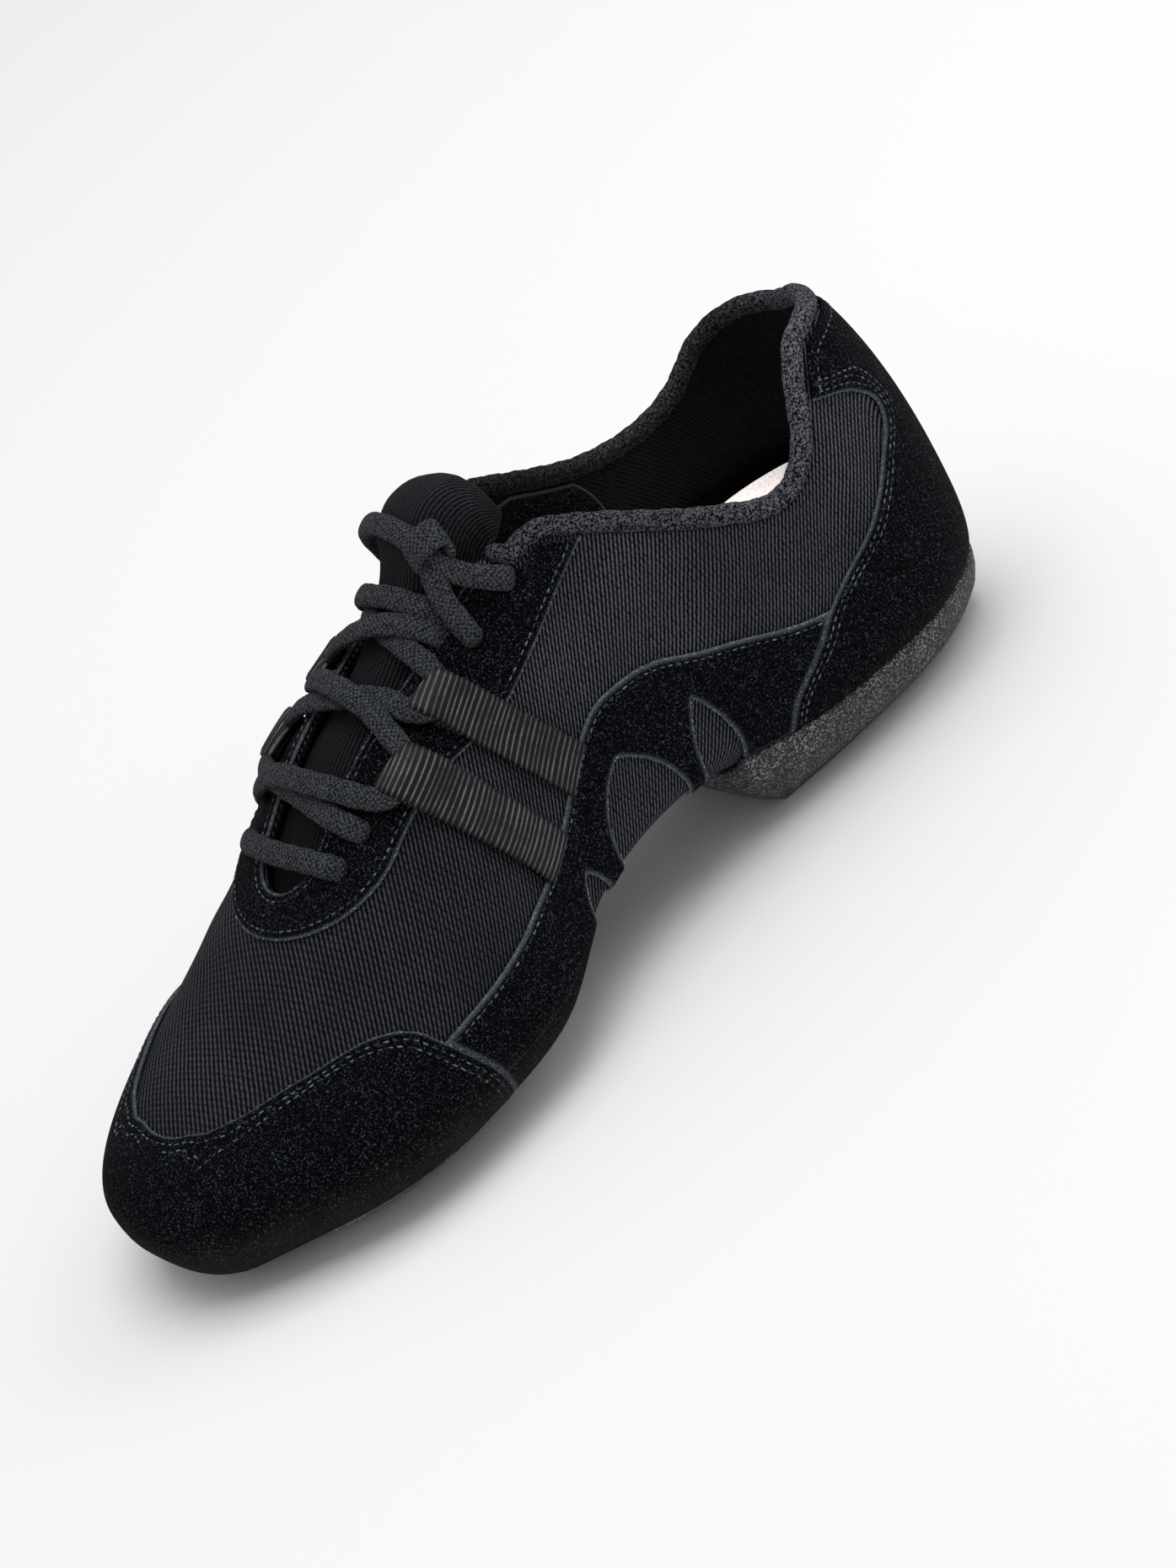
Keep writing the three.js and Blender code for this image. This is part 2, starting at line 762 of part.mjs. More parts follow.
// Discs whose overlap is a lens-shaped notch, as seen from the side
function notchDiscs(row) {
  const notch = Object.fromEntries(notchColumns.map((name, i) => [name, row[i] * instepHeight]));
  const radius = (notch.half * notch.half + notch.sag * notch.sag) / (2 * notch.sag);
  const x = row[0] * shoeLength;
  return [1, -1].map((way) => field((p) => (
    radius - Math.hypot(p.x - (x + way * (radius - notch.sag)), p.z - notch.height)
  )));
}
const notchLines = notchRows.flatMap(notchDiscs);

function sidePanel(side) {
  const lines = [
    onLateral,
    belowPanelTop,
    shifted(inFrontOfCounter, -halfGap),
    shifted(inToeCap, halfGap),
    shifted(inTread, halfGap),
    outsideUnderEdge,
    shifted(belowHeelRim, rubberGap),
    shifted(behindWedgeFront, panelGap),
    ...notchLines,
  ];
  return cut(lines, (lateral, top, counter, toe, tread, under, rim, wedge, ...discs) => {
    const inNotch = [0, 2, 4].some((k) => discs[k] > 0 && discs[k + 1] > 0);
    const overRubber = rim > 0 && wedge > 0;
    return lateral * side > 0 && top > 0 && counter > 0 && toe < 0 && tread < 0
      && under > 0 && !overRubber && !inNotch;
  });
}
add('side_panel_lateral', sandwich(sidePanel(1), overlayOuter, overlayInner), 'suede');
add('side_panel_medial', sandwich(sidePanel(-1), overlayOuter, overlayInner), 'suede');

add('eyestay', sandwich(
  cut(
    [inThroat, inEyestay, shifted(belowCollar, -1)],
    (throat, eyestay, collar) => throat < 0 && eyestay > 0 && collar > 0,
  ),
  overlayOuter,
  overlayInner,
), 'suede');

// Soles
const forefootPatch = cut([shifted(inTread, -halfGap)], (tread) => tread > 0);
const flatTolerance = 0.5;
const treadFace = (p, n) => {
  const q = p.clone().addScaledVector(n, clearance + forefootRubber);
  q.z = q.z < flatTolerance ? 0 : q.z;
  return q;
};
add('outsole_forefoot', sandwich(forefootPatch, treadFace, offset(clearance)), 'rubber');

const heelPatch = cut([belowHeelRim, behindWedgeFront], (rim, front) => rim > 0 && front > 0);
const heelFloor = { back: 0.030 * shoeLength, front: 0.311 * shoeLength, half: 0.205 * ballWidth };
const heelTop = { back: 0.015 * shoeLength, front: wedgeFront, half: 0.335 * ballWidth };
function heelFoot(p, drop, scale) {
  const share = (p.x - heelTop.back) / (heelTop.front - heelTop.back);
  const floorX = THREE.MathUtils.lerp(heelFloor.back, heelFloor.front, share);
  const floorY = p.y * heelFloor.half / heelTop.half;
  return new THREE.Vector3(
    THREE.MathUtils.lerp(p.x, floorX, scale),
    THREE.MathUtils.lerp(p.y, floorY, scale),
    p.z * (1 - drop),
  );
}
const heelRimOut = (p, n, i, out) => {
  const flat = new THREE.Vector3(n.x, n.y, 0).normalize();
  return p.clone().addScaledVector(n, clearance).addScaledVector(flat, rubberLip);
};
const heelBulge = (p, n, i, out) => {
  const rim = heelRimOut(p, n, i, out);
  return heelFoot(rim, 0.6, 0.3);
};
add('outsole_heel', sandwich(
  heelPatch,
  (p) => heelFoot(p, 1, 1),
  offset(clearance),
  [heelBulge, heelRimOut],
), 'rubber');

// A tube of even section swept along places; each place has a point, and the direction of its width and height
function sweep(places, width, height, sides = 8) {
  const positions = [];
  const index = [];
  places.forEach(({ point, across, up }) => {
    for (let k = 0; k < sides; k += 1) {
      const a = ((k + 0.5) / sides) * 2 * Math.PI;
      const p = point.clone()
        .addScaledVector(across, Math.cos(a) * width / 2)
        .addScaledVector(up, Math.sin(a) * height / 2);
      positions.push(p.x, p.y, p.z);
    }
  });
  return closeRings(positions, index, places.length, sides);
}

// Joins rings of points, each a loop of the same count, and closes both ends
function closeRings(positions, index, rings, sides) {
  for (let i = 0; i < rings - 1; i += 1) {
    for (let k = 0; k < sides; k += 1) {
      const a = i * sides + k;
      const b = i * sides + (k + 1) % sides;
      index.push(a, b, b + sides, a, b + sides, a + sides);
    }
  }
  const lastRing = (rings - 1) * sides;
  for (let k = 1; k < sides - 1; k += 1) {
    index.push(0, k + 1, k);
    index.push(lastRing, lastRing + k, lastRing + k + 1);
  }
  return facingOut(solid(positions, index));
}

// Turns the faces outward where a closed mesh has them inward
function facingOut(geometry) {
  const position = geometry.getAttribute('position');
  const index = geometry.getIndex();
  const corner = [0, 1, 2].map(() => new THREE.Vector3());
  let volume = 0;
  for (let i = 0; i < index.count; i += 3) {
    corner.forEach((p, k) => p.fromBufferAttribute(position, index.getX(i + k)));
    volume += corner[0].dot(corner[1].clone().cross(corner[2]));
  }
  if (volume < 0) {
    for (let i = 0; i < index.count; i += 3) {
      const first = index.getX(i);
      index.setX(i, index.getX(i + 1));
      index.setX(i + 1, first);
    }
  }
  return geometry;
}

// A point of the upper half of the last, at a place along the shoe and a distance from its middle line
function topPoint(x, out) {
  const s = sectionAt(x / shoeLength, out > 0 ? 1 : -1);
  const share = Math.min(Math.abs(out) / s.half, 1);
  const z = s.widest + s.rise * Math.pow(1 - Math.pow(share, s.across), 1 / s.up);
  return new THREE.Vector3(x, s.middle + out, z);
}
function topNormal(x, out) {
  const step = 1.5;
  const along = topPoint(x + step, out).sub(topPoint(x - step, out));
  const across = topPoint(x, out + step).sub(topPoint(x, out - step));
  return along.cross(across).normalize();
}
const throatHalfAt = (x) => slot(
  new THREE.Vector3(x, middleAt(x), 0), throatFront, throatRound, throatTopHalf, -shoeLength,
);

// A point of the lower half of the last
function underPoint(x, out) {
  const s = sectionAt(x / shoeLength, out > 0 ? 1 : -1);
  const sine = Math.pow(Math.min(Math.abs(out) / s.half, 1), lowerAcross / 2);
  const z = s.widest - s.drop * Math.pow(1 - sine * sine, 1 / lowerUp);
  return new THREE.Vector3(x, s.middle + out, z);
}
function underNormal(x, out) {
  const step = 1.5;
  const along = underPoint(x + step, out).sub(underPoint(x - step, out));
  const across = underPoint(x, out + step).sub(underPoint(x, out - step));
  return across.cross(along).normalize();
}

// Insole on the inside floor of the upper, thick under the heel, where its top is the seat of the foot.
// Seat: share of the length, share of the instep height.
const seatRows = [
  [0.030, 0.410],
  [0.270, 0.400],
  [0.330, 0.370],
  [0.400, 0.325],
  [0.470, 0.285],
  [0.540, 0.215],
  [0.620, 0.100],
];
const insoleStations = 16;
const insoleBack = 10;
const insoleEnd = 16;
const insoleWidthShare = 0.78;
const seatWidthShare = 0.88;
const seatDepth = 15;
const insoleColumns = [-1, -0.6, 0, 0.6, 1];
const seatLine = through(seatRows);
const insoleRings = [];
for (let i = 0; i < insoleStations; i += 1) {
  const x = THREE.MathUtils.lerp(insoleBack, shoeLength - insoleEnd, i / (insoleStations - 1));
  const depth = fabricWall + 3 * clearance;
  const floorPoint = (column, width, extra) => {
    const half = sectionAt(x / shoeLength, column > 0 ? 1 : -1).half;
    const out = column * width * half;
    return underPoint(x, out).addScaledVector(underNormal(x, out), -depth - extra);
  };
  const seat = seatLine(x / shoeLength) * instepHeight;
  const rise = seat - floorPoint(0, insoleWidthShare, insoleThickness).z;
  const topWidth = THREE.MathUtils.lerp(
    insoleWidthShare,
    seatWidthShare,
    THREE.MathUtils.clamp(rise / seatDepth, 0, 1),
  );
  const bottom = insoleColumns.map((column) => floorPoint(column, insoleWidthShare, 0));
  const top = insoleColumns.map((column) => {
    const p = floorPoint(column, topWidth, insoleThickness);
    p.z = Math.max(p.z, seat);
    return p;
  });
  insoleRings.push(bottom.concat(top.reverse()));
}
add('insole', closeRings(
  insoleRings.flat().flatMap((p) => p.toArray()),
  [],
  insoleStations,
  2 * insoleColumns.length,
), 'insole');

// Collar binding: a roll that sits on the edge of the upper all round the collar
function collarEdge() {
  const value = upperPatch.values[0];
  const neighbours = new Map();
  const used = new Map();
  upperPatch.triangles.forEach((triangle) => {
    for (let k = 0; k < 3; k += 1) {
      const [a, b] = [triangle[k], triangle[(k + 1) % 3]];
      const key = a < b ? `${a}_${b}` : `${b}_${a}`;
      used.set(key, (used.get(key) ?? 0) + 1);
    }
  });
  for (const [key, count] of used) {
    const [a, b] = key.split('_').map(Number);
    if (count === 1 && value[a] === 0 && value[b] === 0) {
      neighbours.set(a, (neighbours.get(a) ?? []).concat(b));
      neighbours.set(b, (neighbours.get(b) ?? []).concat(a));
    }
  }
  const ends = [...neighbours.keys()].filter((i) => neighbours.get(i).length === 1);
  let here = ends.reduce((best, i) => (upperPatch.points[i].y > upperPatch.points[best].y ? i : best));
  let before = -1;
  const chain = [here];
  for (;;) {
    const next = neighbours.get(here).find((i) => i !== before);
    if (next === undefined) {
      break;
    }
    before = here;
    here = next;
    chain.push(here);
  }
  return chain;
}

function spaced(chain, spacing) {
  const kept = [chain[0]];
  for (const i of chain.slice(1, -1)) {
    const away = upperPatch.points[i].distanceTo(upperPatch.points[kept.at(-1)]);
    const toEnd = upperPatch.points[i].distanceTo(upperPatch.points[chain.at(-1)]);
    if (away > spacing && toEnd > spacing) {
      kept.push(i);
    }
  }
  return kept.concat(chain.at(-1));
}

const bindingChain = spaced(collarEdge(), 0.9 * bindingWidth);
const bindingPlaces = bindingChain.map((i, k) => {
  const before = upperPatch.points[bindingChain[Math.max(k - 1, 0)]];
  const after = upperPatch.points[bindingChain[Math.min(k + 1, bindingChain.length - 1)]];
  const along = after.clone().sub(before).normalize();
  const out = upperPatch.normals[i].clone().normalize();
  const up = along.clone().cross(out).normalize();
  if (up.z < 0) {
    up.negate();
  }
  const across = up.clone().cross(along).normalize();
  const point = upperPatch.points[i].clone()
    .addScaledVector(out, -fabricWall / 2)
    .addScaledVector(up, 2 * clearance + bindingWidth / 2);
  return { point, across, up };
});
add('collar_binding', sweep(bindingPlaces, bindingWidth, bindingWidth, 6), 'binding');

// Tongue: a padded tab under the throat that stands up past the top eyelets
function tongueRing(row) {
  const s = Object.fromEntries(tongueColumns.map((name, i) => [name, row[i] * tonguePadding]));
  const x = row[0] * shoeLength;
  s.half = row[1] * ballWidth;
  const shoulder = Math.min(throatHalfAt(Math.min(x, throatFront - throatRound)) - 3, s.half - 1);
  const flat = Math.max(shoulder - 4, 1.5);
  const columns = [-s.half, -shoulder, -flat, 0, flat, shoulder, s.half];
  const edge = -(fabricWall + s.sink);
  const placed = (out, depth) => {
    const lift = Math.abs(out) < shoulder ? s.lift : 0;
    const place = out - tongueLean * lift;
    return topPoint(x, place).addScaledVector(topNormal(x, place), edge + depth(lift));
  };
  const face = columns.map((out) => placed(out, (lift) => lift));
  const back = columns.map((out) => placed(out, (lift) => {
    const thick = Math.abs(out) < s.half ? Math.min(s.thick, lift + s.thick * 0.6) : 1.6;
    return Math.min(lift, s.thick * 0.4) - thick;
  }));
  return face.concat(back.reverse());
}
const tongueRings = tongueRows.map(tongueRing);
add('tongue', closeRings(
  tongueRings.flat().flatMap((p) => p.toArray()),
  [],
  tongueRings.length,
  tongueRings[0].length,
), 'tongue');

// Tape loops: flat strips over the eyestay, from the side panel's edge to a fold beside the throat
const tapeStep = [panelGap, 3.4];
const besideEyestay = inEyestay.map((v) => -v);
function tapeSolid(row, side) {
  const tape = Object.fromEntries(tapeColumns.map((name, i) => [name, row[i]]));
  const line = field((p) => (
    p.x - (tape.at * shoeLength + tape.lean * (p.z - tape.height * instepHeight))
  ));
  const lines = [
    onLateral,
    shifted(line, tapeWidth / 2),
    shifted(line, -tapeWidth / 2),
    shifted(belowPanelTop, halfGap),
    shifted(inThroat, tape.fold * tapeWidth),
    shifted(besideEyestay, -tapeStep[0]),
    shifted(besideEyestay, -tapeStep[1]),
  ];
  const patch = cut(lines, (lateral, front, back, panel, throat) => (
    lateral * side > 0 && front > 0 && back < 0 && panel < 0 && throat < 0
  ));
  const onPanel = clearance + suedeThickness + clearance;
  const height = (i) => {
    const away = patch.values[5][i] + tapeStep[0];
    const t = THREE.MathUtils.clamp((away - tapeStep[0]) / (tapeStep[1] - tapeStep[0]), 0, 1);
    return THREE.MathUtils.lerp(onPanel, clearance, t);
  };
  return sandwich(
    patch,
    (p, n, i) => p.clone().addScaledVector(n, height(i) + tapeThickness),
    (p, n, i) => p.clone().addScaledVector(n, height(i)),
  );
}
for (const row of tapeRows) {
  add(`lace_tape_${row[0]}_lateral`, tapeSolid(row, 1), 'tape');
  add(`lace_tape_${row[0]}_medial`, tapeSolid(row, -1), 'tape');
}

// Lace: flat strands that run over the tongue between the eyelets and the tape loops
const eyeletInset = 5;
function strandPlaces(rows) {
  const stops = rows.map(([at, side, height]) => {
    const x = at * shoeLength;
    const out = side * (throatHalfAt(Math.min(x, throatFront - throatRound)) + eyeletInset);
    return topPoint(x, out).addScaledVector(topNormal(x, out), height * laceThickness);
  });
  const curve = new THREE.CatmullRomCurve3(stops, false, 'centripetal');
  const count = 7;
  const places = [];
  for (let k = 0; k < count; k += 1) {
    const t = k / (count - 1);
    const point = curve.getPointAt(t);
    const along = curve.getTangentAt(t);
    const normal = topNormal(point.x, point.y - middleAt(point.x));
    const across = along.clone().cross(normal).normalize();
    places.push({ point, across, up: across.clone().cross(along).normalize() });
  }
  return places;
}

function toManifold(geometry) {
  const index = geometry.getIndex().array;
  const position = geometry.getAttribute('position').array;
  return new wasm.Manifold(new wasm.Mesh({
    numProp: 3,
    vertProperties: new Float32Array(position),
    triVerts: new Uint32Array(index),
  }));
}
function fromManifold(body) {
  const mesh = body.getMesh();
  return solid(Array.from(mesh.vertProperties), Array.from(mesh.triVerts));
}
function joined(geometries) {
  return fromManifold(geometries.map(toManifold).reduce((whole, piece) => whole.add(piece)));
}
for (const [name, rows] of Object.entries(strands)) {
  const pieces = rows.map((row) => sweep(strandPlaces(row), laceWidth, laceThickness));
  add(name, pieces.length > 1 ? joined(pieces) : pieces[0], 'lace');
}

const knot = new THREE.SphereGeometry(0.5, 10, 7);
const knotPoint = strandPlaces([knotPlace, [knotPlace[0] + 0.01, knotPlace[1], knotPlace[2]]])[0];
knot.applyMatrix4(new THREE.Matrix4().makeBasis(
  knotPoint.across.clone().multiplyScalar(knotSize[0]),
  knotPoint.up.clone().cross(knotPoint.across).multiplyScalar(knotSize[1]),
  knotPoint.up.clone().multiplyScalar(knotSize[2]),
));
knot.translate(...knotPoint.point.toArray());
knot.deleteAttribute('normal');
knot.deleteAttribute('uv');
add('lace_knot', facingOut(mergeVertices(knot, 1e-4)), 'lace');
for (const [name, rows] of Object.entries(knotRuns)) {
  add(name, sweep(strandPlaces(rows), laceWidth, laceThickness), 'lace');
}

export default root;
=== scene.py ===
"""Finished look of a low split-sole jazz shoe for the left foot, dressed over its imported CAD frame."""
import math

import bpy
import numpy as np
from bpy.props import FloatProperty, FloatVectorProperty, PointerProperty
from mathutils import Matrix, Vector


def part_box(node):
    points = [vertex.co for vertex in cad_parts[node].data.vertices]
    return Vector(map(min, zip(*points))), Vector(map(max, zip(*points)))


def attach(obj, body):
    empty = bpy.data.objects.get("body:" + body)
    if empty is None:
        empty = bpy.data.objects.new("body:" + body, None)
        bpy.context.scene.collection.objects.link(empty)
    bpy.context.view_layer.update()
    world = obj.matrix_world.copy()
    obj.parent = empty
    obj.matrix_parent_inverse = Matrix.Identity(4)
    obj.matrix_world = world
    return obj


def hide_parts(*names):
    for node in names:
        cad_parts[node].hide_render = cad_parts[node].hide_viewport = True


bl_info = {
    "name": "Jazz shoe",
    "version": (1, 0, 0),
    "blender": (4, 5, 0),
    "location": "View3D > Sidebar > Jazz shoe",
    "description": "Dresses the CAD frame of a jazz shoe with suede, knit, laces and rubber",
    "category": "Add Mesh",
}

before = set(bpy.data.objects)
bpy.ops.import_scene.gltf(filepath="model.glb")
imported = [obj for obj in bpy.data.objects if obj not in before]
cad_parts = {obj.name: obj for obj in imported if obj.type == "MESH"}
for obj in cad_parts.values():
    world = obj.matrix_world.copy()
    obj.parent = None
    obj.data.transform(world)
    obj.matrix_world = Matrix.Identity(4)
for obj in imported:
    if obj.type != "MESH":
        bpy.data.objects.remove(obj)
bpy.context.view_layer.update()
MM = 0.001

# Driving sizes of the last in millimetres. Here x starts at the back of the heel.
SHOE_LENGTH = 264.0
BALL_WIDTH = 97.6
INSTEP_HEIGHT = 94.3
HEEL_LIFT = 11.8
HEEL_CENTRE = -1000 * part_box("upper")[0][0]

# Thicknesses
CLEARANCE = 0.3
FABRIC_WALL = 1.8
SUEDE = 0.95
TAPE_THICKNESS = 0.9
INSOLE = 3.0
FOREFOOT_RUBBER = 3.2
RUBBER_LIP = 2.0
RUBBER_GAP = 0.5
BINDING_WIDTH = 4.6
LACE_WIDTH = 6.4
LACE_THICKNESS = 3.0
TAPE_WIDTH = 13.0

# Mesh fineness
STATIONS = 190
ROWS = 84
SECTION_STEPS = 121
LOWER_SHARE = 0.42
END_CROWDING = 0.5
SNAP = 0.03
CUT_MARGIN = 6.0

# Last by share of the length. Shares of the ball width: centre, lateral, medial.
# Share of the heel lift: under. Shares of the instep height: widest, top.
LAST_COLUMNS = ("centre", "lateral", "medial", "under", "widest", "top")
LAST_ROWS = (
    (0.00, 0.000, 0.345, 0.345, 1.00, 0.404, 1.120),
    (0.13, 0.000, 0.350, 0.350, 1.00, 0.361, 1.200),
    (0.27, -0.010, 0.328, 0.350, 0.85, 0.368, 1.160),
    (0.41, -0.030, 0.300, 0.345, 1.95, 0.340, 1.155),
    (0.53, -0.067, 0.342, 0.384, 1.78, 0.280, 0.990),
    (0.64, -0.071, 0.456, 0.470, 0.61, 0.220, 0.856),
    (0.74, -0.086, 0.484, 0.494, 0.30, 0.200, 0.651),
    (0.84, -0.093, 0.482, 0.493, 0.30, 0.200, 0.484),
    (0.93, -0.109, 0.437, 0.427, 0.33, 0.220, 0.403),
    (1.00, -0.090, 0.398, 0.389, 0.40, 0.240, 0.383),
)

# Shares of the length over which the last closes at its ends, and how square each close is
CLOSING = {
    "heel_width": (0.154, 2.1),
    "lateral_toe": (0.272, 2.2),
    "medial_toe": (0.267, 2.4),
    "heel_top": (0.093, 2.0),
    "toe_top": (0.175, 2.3),
    "heel_under": (0.035, 2.0),
    "toe_under": (0.05, 2.0),
}

# Squareness of the sections: along the shoe, of the upper half across and up
SQUARE_ROWS = (
    (0.00, 2.6, 2.2),
    (0.10, 3.0, 2.2),
    (0.35, 2.8, 2.1),
    (0.50, 2.1, 1.9),
    (0.65, 2.0, 1.9),
    (1.00, 2.1, 2.0),
)
LOWER_ACROSS = 3.4
LOWER_UP = 2.4

# Collar line seen from the side: share of the length, then shares of the instep height on the
# outer and on the inner side of the foot
COLLAR_ROWS = (
    (0.010, 0.930, 0.920),
    (0.045, 0.985, 0.915),
    (0.080, 1.000, 0.870),
    (0.107, 0.985, 0.800),
    (0.127, 0.925, 0.772),
    (0.150, 0.820, 0.758),
    (0.172, 0.755, 0.758),
    (0.200, 0.726, 0.770),
    (0.225, 0.735, 0.790),
    (0.255, 0.780, 0.822),
    (0.285, 0.830, 0.868),
    (0.320, 0.897, 0.930),
    (0.360, 0.975, 1.005),
    (0.400, 1.035, 1.050),
    (0.440, 1.045, 1.060),
    (0.480, 1.400, 1.400),
)
COLLAR_BLEND = 8.0

# Top edge of the side panels seen from the side
PANEL_TOP_ROWS = (
    (0.200, 0.420),
    (0.260, 0.475),
    (0.300, 0.530),
    (0.345, 0.585),
    (0.385, 0.640),
    (0.420, 0.655),
    (0.450, 0.645),
    (0.475, 0.605),
    (0.500, 0.550),
    (0.525, 0.495),
    (0.555, 0.450),
    (0.610, 0.415),
    (0.670, 0.375),
    (0.760, 0.335),
)

# Front edge of the heel counter: share of the instep height, share of the length
COUNTER_ROWS = (
    (0.100, 0.318),
    (0.220, 0.301),
    (0.300, 0.287),
    (0.380, 0.245),
    (0.445, 0.216),
    (0.480, 0.193),
    (0.520, 0.162),
    (0.580, 0.130),
    (0.650, 0.100),
    (0.700, 0.076),
    (0.750, 0.070),
    (0.800, 0.082),
    (0.840, 0.098),
    (0.890, 0.135),
    (0.940, 0.165),
)

# Rear edge of the toe cap: degrees round the section from the outer side over the top, share of the length
TOE_CAP_ROWS = (
    (-90, 0.700),
    (-30, 0.706),
    (-10, 0.716),
    (0, 0.724),
    (8, 0.736),
    (16, 0.748),
    (23, 0.760),
    (27, 0.776),
    (30, 0.797),
    (32, 0.822),
    (35, 0.852),
    (38, 0.880),
    (44, 0.905),
    (60, 0.925),
    (90, 0.935),
    (120, 0.930),
    (140, 0.918),
    (150, 0.890),
    (155, 0.850),
    (160, 0.800),
    (170, 0.745),
    (180, 0.722),
    (210, 0.705),
    (270, 0.700),
)
TOE_CAP_CENTRE = 0.22

# Upper rim of the heel rubber seen from the side
HEEL_RIM_ROWS = (
    (0.000, 0.165),
    (0.060, 0.175),
    (0.150, 0.190),
    (0.230, 0.200),
    (0.300, 0.225),
    (0.360, 0.262),
)

# Throat and the eyestay round it
THROAT_FRONT = 0.735 * SHOE_LENGTH
THROAT_ROUND = 0.102 * BALL_WIDTH
THROAT_TOP_HALF = 0.133 * BALL_WIDTH
THROAT_TOP = 0.43 * SHOE_LENGTH
THROAT_BACK = 0.35 * SHOE_LENGTH
EYESTAY_FRONT = 0.768 * SHOE_LENGTH
EYESTAY_ROUND = 0.272 * BALL_WIDTH
EYESTAY_TOP_HALF = 0.228 * BALL_WIDTH
EYESTAY_BACK = 0.30 * SHOE_LENGTH

# Lens-shaped notches in the lower edge of each side panel. Middle as a share of the length,
# then shares of the instep height: middle, half height and half width
NOTCH_ROWS = (
    (0.370, 0.297, 0.201, 0.059),
    (0.457, 0.286, 0.223, 0.127),
    (0.542, 0.233, 0.117, 0.047),
)

# Lower edge of a side panel under the arch: share of the length, share of the half width
UNDER_EDGE_ROWS = (
    (0.330, 0.80),
    (0.400, 0.90),
    (0.480, 0.90),
    (0.560, 0.84),
    (0.620, 0.70),
    (0.700, 0.55),
)

# Soles
TREAD_CENTRE = 0.757 * SHOE_LENGTH
TREAD_LENGTH = 0.172 * SHOE_LENGTH
TREAD_WIDTH = 0.392 * BALL_WIDTH
OPENING_MARGIN = 9.0
HEEL_OPENING_LENGTH = 0.095 * SHOE_LENGTH
HEEL_OPENING_WIDTH = 0.17 * BALL_WIDTH
WEDGE_FRONT = 0.352 * SHOE_LENGTH
HEEL_FLOOR = {"back": 0.030 * SHOE_LENGTH, "front": 0.311 * SHOE_LENGTH, "half": 0.205 * BALL_WIDTH}
HEEL_TOP = {"back": 0.015 * SHOE_LENGTH, "front": WEDGE_FRONT, "half": 0.335 * BALL_WIDTH}

# Tape loops: name, share of the length and of the instep height where the middle line leaves the
# throat, its lean toward the heel as it goes down, and how far out the lace lies in the fold
TAPE_ROWS = (
    ("upper", 0.549, 0.880, 0.48, 18.2),
    ("lower", 0.621, 0.838, 0.45, 21.8),
)

# Tongue: share of the length, half width as a share of the ball width, then shares of the padding:
# lift of its middle, thickness, and depth of its edges below the inside of the upper.
# The lifted part leans to the inner side of the foot by a share of its lift.
TONGUE_PADDING = 7.5
TONGUE_LEAN = 0.3
TONGUE_ROWS = (
    (0.400, 0.098, 1.20, 0.60, 0.37),
    (0.410, 0.115, 1.55, 0.90, 0.37),
    (0.425, 0.128, 1.80, 1.00, 0.37),
    (0.450, 0.148, 1.75, 1.00, 0.37),
    (0.480, 0.179, 1.10, 0.93, 0.32),
    (0.520, 0.190, 0.60, 0.80, 0.21),
    (0.560, 0.195, 0.29, 0.67, 0.13),
    (0.620, 0.184, 0.13, 0.53, 0.11),
    (0.680, 0.164, 0.08, 0.47, 0.11),
    (0.720, 0.133, 0.03, 0.40, 0.11),
    (0.752, 0.092, 0.00, 0.32, 0.11),
)

# Seat of the foot: share of the length, share of the instep height
SEAT_ROWS = (
    (0.030, 0.410),
    (0.270, 0.400),
    (0.330, 0.370),
    (0.400, 0.325),
    (0.470, 0.285),
    (0.540, 0.215),
    (0.620, 0.100),
)
INSOLE_BACK = 10.0
INSOLE_END = 16.0
INSOLE_WIDTH_SHARE = 0.78
SEAT_WIDTH_SHARE = 0.90
SEAT_DEPTH = 15.0

# Eyelets: share of the length, and distance from the middle line as a share of half the throat
# with the inset
EYELET_INSET = 5.0
EYELETS = (
    (0.700, 1.12),
    (0.669, 1.23),
    (0.491, 1.00),
    (0.439, 0.98),
)
EYELET_RADIUS = 2.5


def linear(code):
    """Turn an sRGB hex value into linear red, green and blue."""
    channels = [int(code[i:i + 2], 16) / 255 for i in (0, 2, 4)]
    return tuple(c / 12.92 if c <= 0.04045 else ((c + 0.055) / 1.055) ** 2.4 for c in channels)


class ShoeSizes(bpy.types.PropertyGroup):
    """Sizes of the sewing and the cloth, in metres."""

    stitch_pitch: FloatProperty(
        name="Stitch pitch", description="Distance from one stitch to the next",
        default=0.0021, min=0.001, max=0.01, unit="LENGTH")
    stitch_length: FloatProperty(
        name="Stitch length", description="Length of thread that shows in a stitch",
        default=0.0015, min=0.0005, max=0.01, unit="LENGTH")
    thread_width: FloatProperty(
        name="Thread width", description="Width of the sewing thread",
        default=0.00045, min=0.0001, max=0.002, unit="LENGTH")
    tread_pitch: FloatProperty(
        name="Tread pitch", description="Distance between the pyramids of the forefoot tread",
        default=0.0026, min=0.001, max=0.01, unit="LENGTH")
    tread_depth: FloatProperty(
        name="Tread depth", description="Height of the pyramids of the forefoot tread",
        default=0.0009, min=0.0002, max=0.003, unit="LENGTH")


